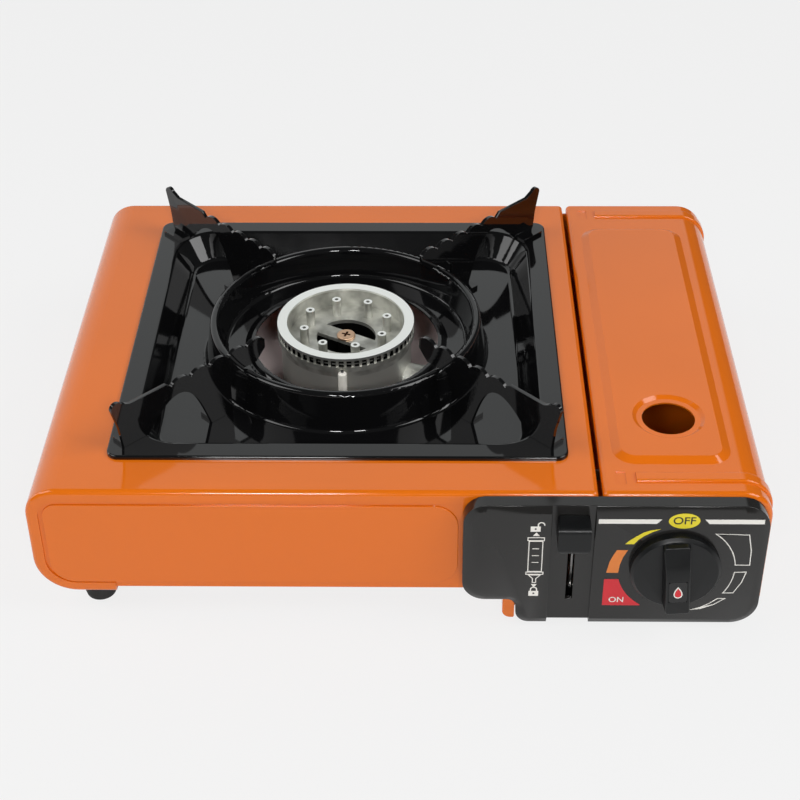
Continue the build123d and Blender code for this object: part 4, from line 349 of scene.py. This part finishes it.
def shaded_enamel(name, colour, roughness):
    """Enamel of the sheets behind the control panel, with black painted shade where the lever's slot lets one see
    them.
    """
    shader = Shader(name)
    shader.set(IOR=1.5, Roughness=roughness)
    behind = shader.step(shader.along("Y"), FASCIA_FACE + SLOT_VIEW_DEPTH, False)
    for letter, (low, high) in zip("XZ", (SLOT_VIEW_X, SLOT_VIEW_Z)):
        behind = shader.product(behind, shader.step(shader.along(letter), low, True))
        behind = shader.product(behind, shader.step(shader.along(letter), high, False))
    # black painted shade where the lever's slot lets one see the sheet
    shader.feed(Base_Color=shader.blend(behind, linear(colour), linear(BLACK_ENAMEL)))
    shader.ripple()
    return shader.material


def ink(name, colour):
    """Printed ink, slightly uneven."""
    shader = Shader(name)
    shader.tone(colour, 0.03, 160)
    shader.set(Roughness=0.42)
    shader.bump(shader.noise(1800, 2.0), 0.05, 0.04)
    return shader.material


MATERIALS = {
    "orange_enamel": enamel("orange_enamel", ORANGE, 0.10),
    "black_enamel": enamel("black_enamel", BLACK_ENAMEL, 0.06),
    "charcoal_plastic": moulded("charcoal_plastic", CHARCOAL, 0.16, grain=0.03),
    "black_plastic": moulded("black_plastic", BLACK_PLASTIC, 0.36, grain=0.05, index=1.38),
    "window_plastic": moulded("window_plastic", WINDOW, 0.22, grain=0.02),
    "cast_aluminium": metal("cast_aluminium", ALUMINIUM, 0.50, scale=1500, relief=0.16),
    "machined_burner": cast_burner("machined_burner"),
    "zinc_sheet": metal("zinc_sheet", ZINC, 0.34, stretch=(1, 12, 1), scale=300),
    "bright_shield": enamel("bright_shield", SHIELD, 0.45),
    "steel": metal("steel", STEEL, 0.32),
    "brass": metal("brass", BRASS, 0.30),
    "copper_plate": screw_plate("copper_plate"),
    "cast_base": cast_base("cast_base"),
    "shaded_enamel": shaded_enamel("shaded_enamel", ORANGE, 0.10),
    "white_ceramic": enamel("white_ceramic", CERAMIC, 0.22, swing=0.02, coat=0.3),
    "white_plastic": moulded("white_plastic", WHITE_PLASTIC, 0.42),
    "lead_insulation": moulded("lead_insulation", INSULATION, 0.55),
    "rubber": moulded("rubber", RUBBER, 0.75, grain=0.25),
}
INKS = {
    "white": ink("ink_white", PRINT_WHITE),
    "yellow": ink("ink_yellow", PRINT_YELLOW),
    "orange": ink("ink_orange", PRINT_ORANGE),
    "red": ink("ink_red", PRINT_RED),
    "dark": ink("ink_dark", CHARCOAL),
}
SPECIAL = {
    "burner_head": "machined_burner",
    "burner_base": "cast_base",
    "burner_screw": "copper_plate",
    "heat_shield": "bright_shield",
    "base_plate": "bright_shield",
    "front_panel": "shaded_enamel",
    "cartridge_tray": "shaded_enamel",
}
NODE_SLOT = {s["node"]: s["material_slot"] for s in frame["record"]["subparts"]}
NODE_BODY = {n: body for body, nodes in frame["record"]["behaviour"]["bodies"].items() for n in nodes}


def finish_of(node):
    """Material of a node."""
    return MATERIALS[SPECIAL.get(node, NODE_SLOT[node])]


def dress_nodes():
    """Give every CAD node its finish."""
    for name, node in frame["nodes"].items():
        node.data.materials.clear()
        node.data.materials.append(finish_of(name))


# Rounded copies of sharp-edged nodes
def rounded(node, width, segments=3):
    """Copy of a node whose sharp edges are rounded; it stands for the node."""
    source = frame["nodes"][node]
    mesh = source.data.copy()
    piece = bpy.data.objects.new(f"{node}_finished", mesh)
    bpy.context.scene.collection.objects.link(piece)
    bm = bmesh.new()
    bm.from_mesh(mesh)
    bmesh.ops.remove_doubles(bm, verts=bm.verts, dist=WELD * MM)
    bmesh.ops.dissolve_limit(bm, angle_limit=radians(FLAT_ANGLE), verts=bm.verts, edges=bm.edges)
    bm.to_mesh(mesh)
    bm.free()
    bevel = piece.modifiers.new("edges", "BEVEL")
    bevel.width = width * MM
    bevel.segments = segments
    bevel.limit_method = "ANGLE"
    bevel.angle_limit = radians(EDGE_ANGLE)
    bevel.use_clamp_overlap = True
    mesh.shade_smooth()
    mesh.set_sharp_from_angle(angle=radians(SHARP_ANGLE))
    mesh.materials.clear()
    mesh.materials.append(finish_of(node))
    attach(piece, NODE_BODY[node])
    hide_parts(node)
    return piece


# Printed marks
def flat_piece(name, loops, front, colour, body):
    """Thin printed patch on a face square to Y, from loops of (x, z) points; later loops are holes."""
    curve = bpy.data.curves.new(name, "CURVE")
    curve.dimensions = "2D"
    curve.fill_mode = "BOTH"
    curve.extrude = INK * MM / 2
    for loop in loops:
        spline = curve.splines.new("POLY")
        spline.points.add(len(loop) - 1)
        spline.use_cyclic_u = True
        for point, (x, z) in zip(spline.points, loop):
            point.co = (x * MM, z * MM, 0, 1)
    return printed(name, curve, front, colour, body)


def printed(name, curve, front, colour, body):
    """Turn a flat curve into a printed mesh standing on a front face."""
    maker = bpy.data.objects.new(f"{name}_outline", curve)
    bpy.context.scene.collection.objects.link(maker)
    mesh = bpy.data.meshes.new_from_object(maker.evaluated_get(bpy.context.evaluated_depsgraph_get()))
    bpy.data.objects.remove(maker)
    middle = (front - INK_LIFT - INK / 2) * MM
    mesh.transform(Matrix.Translation((0, middle, 0)) @ Matrix.Rotation(pi / 2, 4, "X"))
    piece = bpy.data.objects.new(name, mesh)
    bpy.context.scene.collection.objects.link(piece)
    mesh.materials.clear()
    mesh.materials.append(INKS[colour])
    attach(piece, body)
    return piece


def word(name, text, centre, height, front, colour):
    """Short printed word on the control panel."""
    curve = bpy.data.curves.new(name, "FONT")
    curve.body = text
    curve.size = height * MM / CAPITAL
    curve.align_x = "CENTER"
    curve.align_y = "CENTER"
    curve.extrude = INK * MM / 2
    curve.offset = height * MM * STROKE_GAIN
    piece = printed(name, curve, front, colour, "case")
    piece.data.transform(Matrix.Translation((centre[0] * MM, 0, centre[1] * MM)))
    return piece


def arc(centre, radius, start, end, count=24):
    """Points along an arc, angles in degrees from +X towards +Z."""
    turns = [radians(start + (end - start) * i / count) for i in range(count + 1)]
    return [(centre[0] + radius * cos(t), centre[1] + radius * sin(t)) for t in turns]


def ellipse(centre, width, height, count=48):
    """Points round an ellipse."""
    turns = [2 * pi * i / count for i in range(count)]
    return [(centre[0] + width / 2 * cos(t), centre[1] + height / 2 * sin(t)) for t in turns]


def rectangle(x_low, x_high, z_low, z_high):
    """Corners of an upright rectangle."""
    return [(x_low, z_low), (x_high, z_low), (x_high, z_high), (x_low, z_high)]


def inner_loop(loop, depth):
    """A closed loop moved inwards by a depth, for a printed outline."""
    area = sum(a[0] * b[1] - b[0] * a[1] for a, b in zip(loop, loop[1:] + loop[:1]))
    sign = 1 if area > 0 else -1
    moved = []
    for before, point, after in zip(loop[-1:] + loop[:-1], loop, loop[1:] + loop[:1]):
        first = (Vector(point) - Vector(before)).normalized()
        second = (Vector(after) - Vector(point)).normalized()
        share = max(1 + first.dot(second), MITRE_LIMIT)
        across = Vector((-(first.y + second.y), first.x + second.x)) * (sign / share)
        moved.append(tuple(Vector(point) + across * depth))
    return moved


DIAL_SHIFT = (0.4, -2.0)        # middle of the printed rings from the knob's axis
DIAL = (KNOB_AXIS[0] + DIAL_SHIFT[0], KNOB_AXIS[2] + DIAL_SHIFT[1])
DIAL_INNER = 26.6               # printed rings start outside the knob's disc
LINE = 0.45                     # printed line width
BAR_LOW = 26.0
BAR_HIGH = 28.6
OFF_PLACE = (2.0, 27.7)
OFF_SIZE = (14.3, 8.9)
OFF_HEIGHT = 4.3                # letters
ON_PLACE = (-25.8, -21.1)
ON_HEIGHT = 3.3
WEDGE_INNER = DIAL_INNER + 0.8
WORD_FACE = FASCIA_FACE - INK - INK_LIFT


def dial(*points):
    """Points given from the knob's axis."""
    return [(KNOB_AXIS[0] + x, KNOB_AXIS[2] + z) for x, z in points]


def make_dial_marks():
    """Bars, off mark and coloured steps round the knob."""

    def patch(name, loops, colour):
        flat_piece(name, loops, FASCIA_FACE, colour, "case")

    left_bar = dial((-37.0, BAR_LOW), (-10.4, BAR_LOW), (-8.2, BAR_HIGH), (-37.0, BAR_HIGH))
    right_bar = dial((13.5, BAR_LOW), (38.5, BAR_LOW), (38.5, BAR_HIGH), (11.3, BAR_HIGH))
    patch("mark_bar_left", [left_bar], "white")
    patch("mark_bar_right", [right_bar], "white")
    off_at = dial(OFF_PLACE)[0]
    patch("mark_off_oval", [ellipse(off_at, *OFF_SIZE)], "yellow")
    word("mark_off_word", "OFF", off_at, OFF_HEIGHT, WORD_FACE, "dark")
    crescent = dial((-24.0, 13.7), (-22.0, 15.9), (-19.2, 18.3), (-15.9, 20.8), (-12.6, 22.1), (-8.3, 22.8),
                    (-12.1, 21.0), (-15.9, 18.4), (-18.2, 16.2), (-19.9, 13.7))
    patch("mark_low_step", [crescent[::-1]], "yellow")
    middle = dial((-27.5, 10.0), (-29.0, 6.8), (-30.4, 2.9), (-31.6, -4.0), (-26.0, -4.0), (-25.6, 1.0),
                  (-24.4, 5.6), (-22.4, 10.0))
    patch("mark_middle_step", [middle], "orange")
    box = arc(DIAL, DIAL_INNER, 193, 236) + dial((-14.7, -24.6), (-32.3, -24.6), (-32.3, -8.0))
    patch("mark_on_box", [box], "red")
    word("mark_on_word", "ON", dial(ON_PLACE)[0], ON_HEIGHT, WORD_FACE, "white")
    high = arc(DIAL, WEDGE_INNER, 6.0, 54.0) + dial((32.6, 19.7), (34.5, 10.0), (34.8, 0.8))
    patch("mark_wedge_high", [high, inner_loop(high, LINE)], "white")
    step = arc(DIAL, WEDGE_INNER, -32.5, -2.5) + dial((33.8, -3.0), (32.2, -9.8), (28.9, -16.6))
    patch("mark_wedge_middle", [step, inner_loop(step, LINE)], "white")
    low = dial((21.7, -19.8), (18.2, -22.9), (14.0, -25.6), (8.6, -27.6), (14.8, -26.7), (20.5, -24.1),
               (25.9, -19.8))
    hollow = dial((22.0, -20.25), (18.6, -23.2), (15.6, -25.2), (20.2, -23.7), (24.6, -20.25))
    patch("mark_wedge_low", [low, hollow], "white")


PICTURE_FROM_KNOB = 65.0        # cartridge picture, left of the knob's axis
PICTURE_X = KNOB_AXIS[0] - PICTURE_FROM_KNOB
PICTURE_Z = KNOB_AXIS[2]
LEVEL_LOW = 2.0                 # lowest of the level lines on the cartridge picture
LEVEL_STEP = 4.2
LEVEL_HALF = 1.6

LOCK_HALF = 2.3                 # padlock body, half its width
LOCK_LOW = 2.2                  # its lower and upper edge from its middle
LOCK_HIGH = 0.9
KEYHOLE = 1.0
KEYHOLE_DROP = 0.6
BOW_OUT = 1.75
BOW_IN = 1.15
BOW_RISE = 0.9
BOW_SHIFT = 2.6                 # an open bow stands beside the body, with one leg lifted
BOW_LIFT = 0.6


def padlock(name, middle, opened):
    """Small padlock picture; its bow stands open or shut."""
    x, z = middle
    foot = z + LOCK_HIGH
    body = rectangle(x - LOCK_HALF, x + LOCK_HALF, z - LOCK_LOW, foot)
    keyhole = ellipse((x, z - KEYHOLE_DROP), KEYHOLE, KEYHOLE, 16)
    flat_piece(f"{name}_body", [body, keyhole], FASCIA_FACE, "white", "case")
    x += BOW_SHIFT if opened else 0
    lifted = foot + (BOW_LIFT if opened else 0)
    bow = arc((x, foot + BOW_RISE), BOW_OUT, 180, 0, 16) + [(x + BOW_OUT, lifted), (x + BOW_IN, lifted)]
    bow += arc((x, foot + BOW_RISE), BOW_IN, 0, 180, 16) + [(x - BOW_IN, foot), (x - BOW_OUT, foot)]
    flat_piece(f"{name}_bow", [bow], FASCIA_FACE, "white", "case")


def make_lock_marks():
    """Padlocks, arrows and a plain cartridge picture beside the lever."""
    x, z = PICTURE_X, PICTURE_Z
    padlock("mark_unlock", (x - 0.5, z + 23.2), True)
    padlock("mark_lock", (x, z - 16.6), False)

    def patch(name, loops):
        flat_piece(name, loops, FASCIA_FACE, "white", "case")

    patch("mark_arrow_up", [[(x - 1.6, z + 18.4), (x + 1.6, z + 18.4), (x, z + 20.6)]])
    patch("mark_arrow_down", [[(x - 1.4, z - 11.4), (x, z - 13.4), (x + 1.4, z - 11.4)]])
    shapes = {
        "mark_can_cap": rectangle(x - 4.0, x + 4.0, z + 15.4, z + 17.6),
        "mark_can_body": rectangle(x - 3.4, x + 3.4, z - 3.6, z + 15.4),
        "mark_can_collar": rectangle(x - 4.2, x + 4.2, z - 5.4, z - 3.6),
        "mark_can_neck": [(x - 1.0, z - 10.6), (x + 1.0, z - 10.6), (x + 1.0, z - 8.0), (x + 3.2, z - 5.4),
                          (x - 3.2, z - 5.4), (x - 1.0, z - 8.0)],
    }
    for name, loop in shapes.items():
        patch(name, [loop, inner_loop(loop, LINE)])
    for i in range(3):
        low = z + LEVEL_LOW + LEVEL_STEP * i
        patch(f"mark_can_level_{i + 1}", [rectangle(x - LEVEL_HALF, x + LEVEL_HALF, low, low + LINE)])


def drop(centre, width, height, count=28):
    """Flame drop: round below, pointed above."""
    points = []
    for i in range(count):
        t = 2 * pi * i / count
        lean = sin(t / 2)
        points.append((centre[0] + width / 2 * sin(t) * lean, centre[1] + height / 2 * cos(t)))
    return points


GRIP_LEAN = 4.0                 # the knob's grip leans this far in the off position
DROP_SIZE = (5.4, 7.0)
DROP_RIM = 0.55
DROP_GAP = 0.05                 # bare line between the drop and its rim


def make_window_mark():
    """Flame drop on the knob's pointer pad."""
    middle = Vector([(low + high) / 2 for low, high in zip(WINDOW_LOW, WINDOW_HIGH)])
    turn = Matrix.Rotation(radians(GRIP_LEAN), 2)
    outer = [tuple(turn @ Vector(p) + Vector((middle.x, middle.z))) for p in drop((0, 0), *DROP_SIZE)]
    rim = [outer, inner_loop(outer, DROP_RIM)]
    filling = [inner_loop(outer, DROP_RIM + DROP_GAP)]
    flat_piece("mark_drop_rim", rim, WINDOW_LOW[1], "white", "knob")
    flat_piece("mark_drop", filling, WINDOW_LOW[1], "red", "knob")


# Stage
FLOOR_SIDE = 40.0               # metres, so that low views end on the floor
FLOOR_HEIGHT = -0.2
FLOOR_GLOW = 0.9                # share of the floor's own colour; the rest takes light and shadow


def make_stage():
    """Pale floor that keeps a faint shadow."""
    bpy.ops.mesh.primitive_plane_add(size=FLOOR_SIDE, location=(0, 0, FLOOR_HEIGHT * MM))
    floor = bpy.context.object
    floor.name = "studio_floor"
    shader = Shader("studio_floor")
    shader.set(Base_Color=linear(BACKDROP), Roughness=0.9)
    light = shader.tree.nodes.new("ShaderNodeEmission")
    light.inputs["Color"].default_value = linear(BACKDROP)
    path = shader.tree.nodes.new("ShaderNodeLightPath")
    seen = shader.total([path.outputs[f"Is {kind} Ray"] for kind in ("Camera", "Glossy", "Transmission")])
    share = shader.tree.nodes.new("ShaderNodeMath")
    share.operation = "MULTIPLY"
    share.inputs[1].default_value = FLOOR_GLOW
    shader.link(seen, share.inputs[0])
    blend = shader.tree.nodes.new("ShaderNodeMixShader")
    shader.link(share.outputs["Value"], blend.inputs["Fac"])
    shader.link(shader.surface.outputs["BSDF"], blend.inputs[1])
    shader.link(light.outputs["Emission"], blend.inputs[2])
    shader.link(blend.outputs["Shader"], shader.tree.nodes["Material Output"].inputs["Surface"])
    floor.data.materials.append(shader.material)


WALL_LIGHT = 0.85               # pale wall behind the object, open on its right
ROOM_LIGHT = 0.08               # the rest of the room
ROOM_TINT = (0.97, 1.0, 1.0, 1)
WALL_FRONT = (0.35, 0.55)       # the wall's soft limits, as parts of a view direction
WALL_TOP = (0.66, 0.74)
WALL_RIGHT = (0.26, 0.36)


def make_world():
    """A pale wall behind the object, up to a height, in a dim room."""
    world = bpy.data.worlds.new("studio")
    bpy.context.scene.world = world
    world.use_nodes = True
    tree = world.node_tree
    split = tree.nodes.new("ShaderNodeSeparateXYZ")
    tree.links.new(tree.nodes.new("ShaderNodeTexCoord").outputs["Generated"], split.inputs["Vector"])

    def ramp(source, limits, results):
        node = tree.nodes.new("ShaderNodeMapRange")
        node.interpolation_type = "SMOOTHSTEP"
        node.inputs["From Min"].default_value, node.inputs["From Max"].default_value = limits
        node.inputs["To Min"].default_value, node.inputs["To Max"].default_value = results
        tree.links.new(source, node.inputs["Value"])
        return node.outputs["Result"]

    wall = ramp(split.outputs["Y"], WALL_FRONT, (0, 1))
    for mask in (ramp(split.outputs["Z"], WALL_TOP, (1, 0)), ramp(split.outputs["X"], WALL_RIGHT, (1, 0))):
        node = tree.nodes.new("ShaderNodeMath")
        node.operation = "MULTIPLY"
        tree.links.new(wall, node.inputs[0])
        tree.links.new(mask, node.inputs[1])
        wall = node.outputs["Value"]
    strength = ramp(wall, (0, 1), (ROOM_LIGHT, WALL_LIGHT))
    tree.links.new(strength, tree.nodes["Background"].inputs["Strength"])
    tree.nodes["Background"].inputs["Color"].default_value = ROOM_TINT


# Lamps: place and target in metres, size in metres, power in watts
LAMPS = {
    "left_box": ((-1.15, -0.3, 1.3), (0, 0, 0), (0.9, 0.9), 8),
    "right_box": ((1.15, -0.3, 1.2), (0, 0, 0), (0.9, 0.9), 12),
    "left_key": ((-0.20, -1.35, 1.0), (0, 0, 0.04), (0.2, 0.2), 6.0),
    "right_key": ((0.25, -1.35, 1.0), (0, 0, 0.04), (0.2, 0.2), 6.0),
    "left_strip": ((-1.5, 0.3, 0.6), (0, 0, 0.05), (0.4, 1.0), 4),
}


def make_lamp(name, place, target, size, power):
    """Soft rectangular lamp aimed at a point."""
    lamp = bpy.data.lights.new(name, "AREA")
    lamp.shape = "RECTANGLE"
    lamp.size, lamp.size_y = size
    lamp.energy = power
    holder = bpy.data.objects.new(name, lamp)
    bpy.context.scene.collection.objects.link(holder)
    holder.location = place
    holder.rotation_mode = "QUATERNION"
    holder.rotation_quaternion = (Vector(target) - Vector(place)).to_track_quat("-Z", "Y")


def make_lights():
    """Two softboxes over the sides, two small key lamps behind the camera and a left strip."""
    for name, (place, target, size, power) in LAMPS.items():
        make_lamp(name, place, target, size, power)


def make_camera():
    """Camera at the photograph's place and angle."""
    pitch, yaw, roll = (radians(v) for v in (CAMERA_PITCH, CAMERA_YAW, CAMERA_ROLL))
    forward = Vector((sin(yaw) * cos(pitch), cos(yaw) * cos(pitch), -sin(pitch)))
    level = Vector((cos(yaw), -sin(yaw), 0))
    down = forward.cross(level)
    right = cos(roll) * level + sin(roll) * down
    low = -sin(roll) * level + cos(roll) * down
    data = bpy.data.cameras.new("camera")
    data.sensor_width = SENSOR
    data.lens = FOCAL_PIXELS * SENSOR / IMAGE
    data.clip_start = 0.01
    camera = bpy.data.objects.new("camera", data)
    bpy.context.scene.collection.objects.link(camera)
    turn = Matrix((right, -low, -forward)).transposed().to_4x4()
    camera.matrix_world = Matrix.Translation([v * MM for v in CAMERA_PLACE]) @ turn
    bpy.context.scene.camera = camera


dress_nodes()
for support in [n for n in frame["nodes"] if n.startswith("pan_support")]:
    rounded(support, SUPPORT_EDGE)
for node, width in MOULDED_EDGES.items():
    rounded(node, width)
make_dial_marks()
make_lock_marks()
make_window_mark()
make_stage()
make_world()
make_lights()
make_camera()
bpy.context.scene.view_settings.view_transform = "Standard"
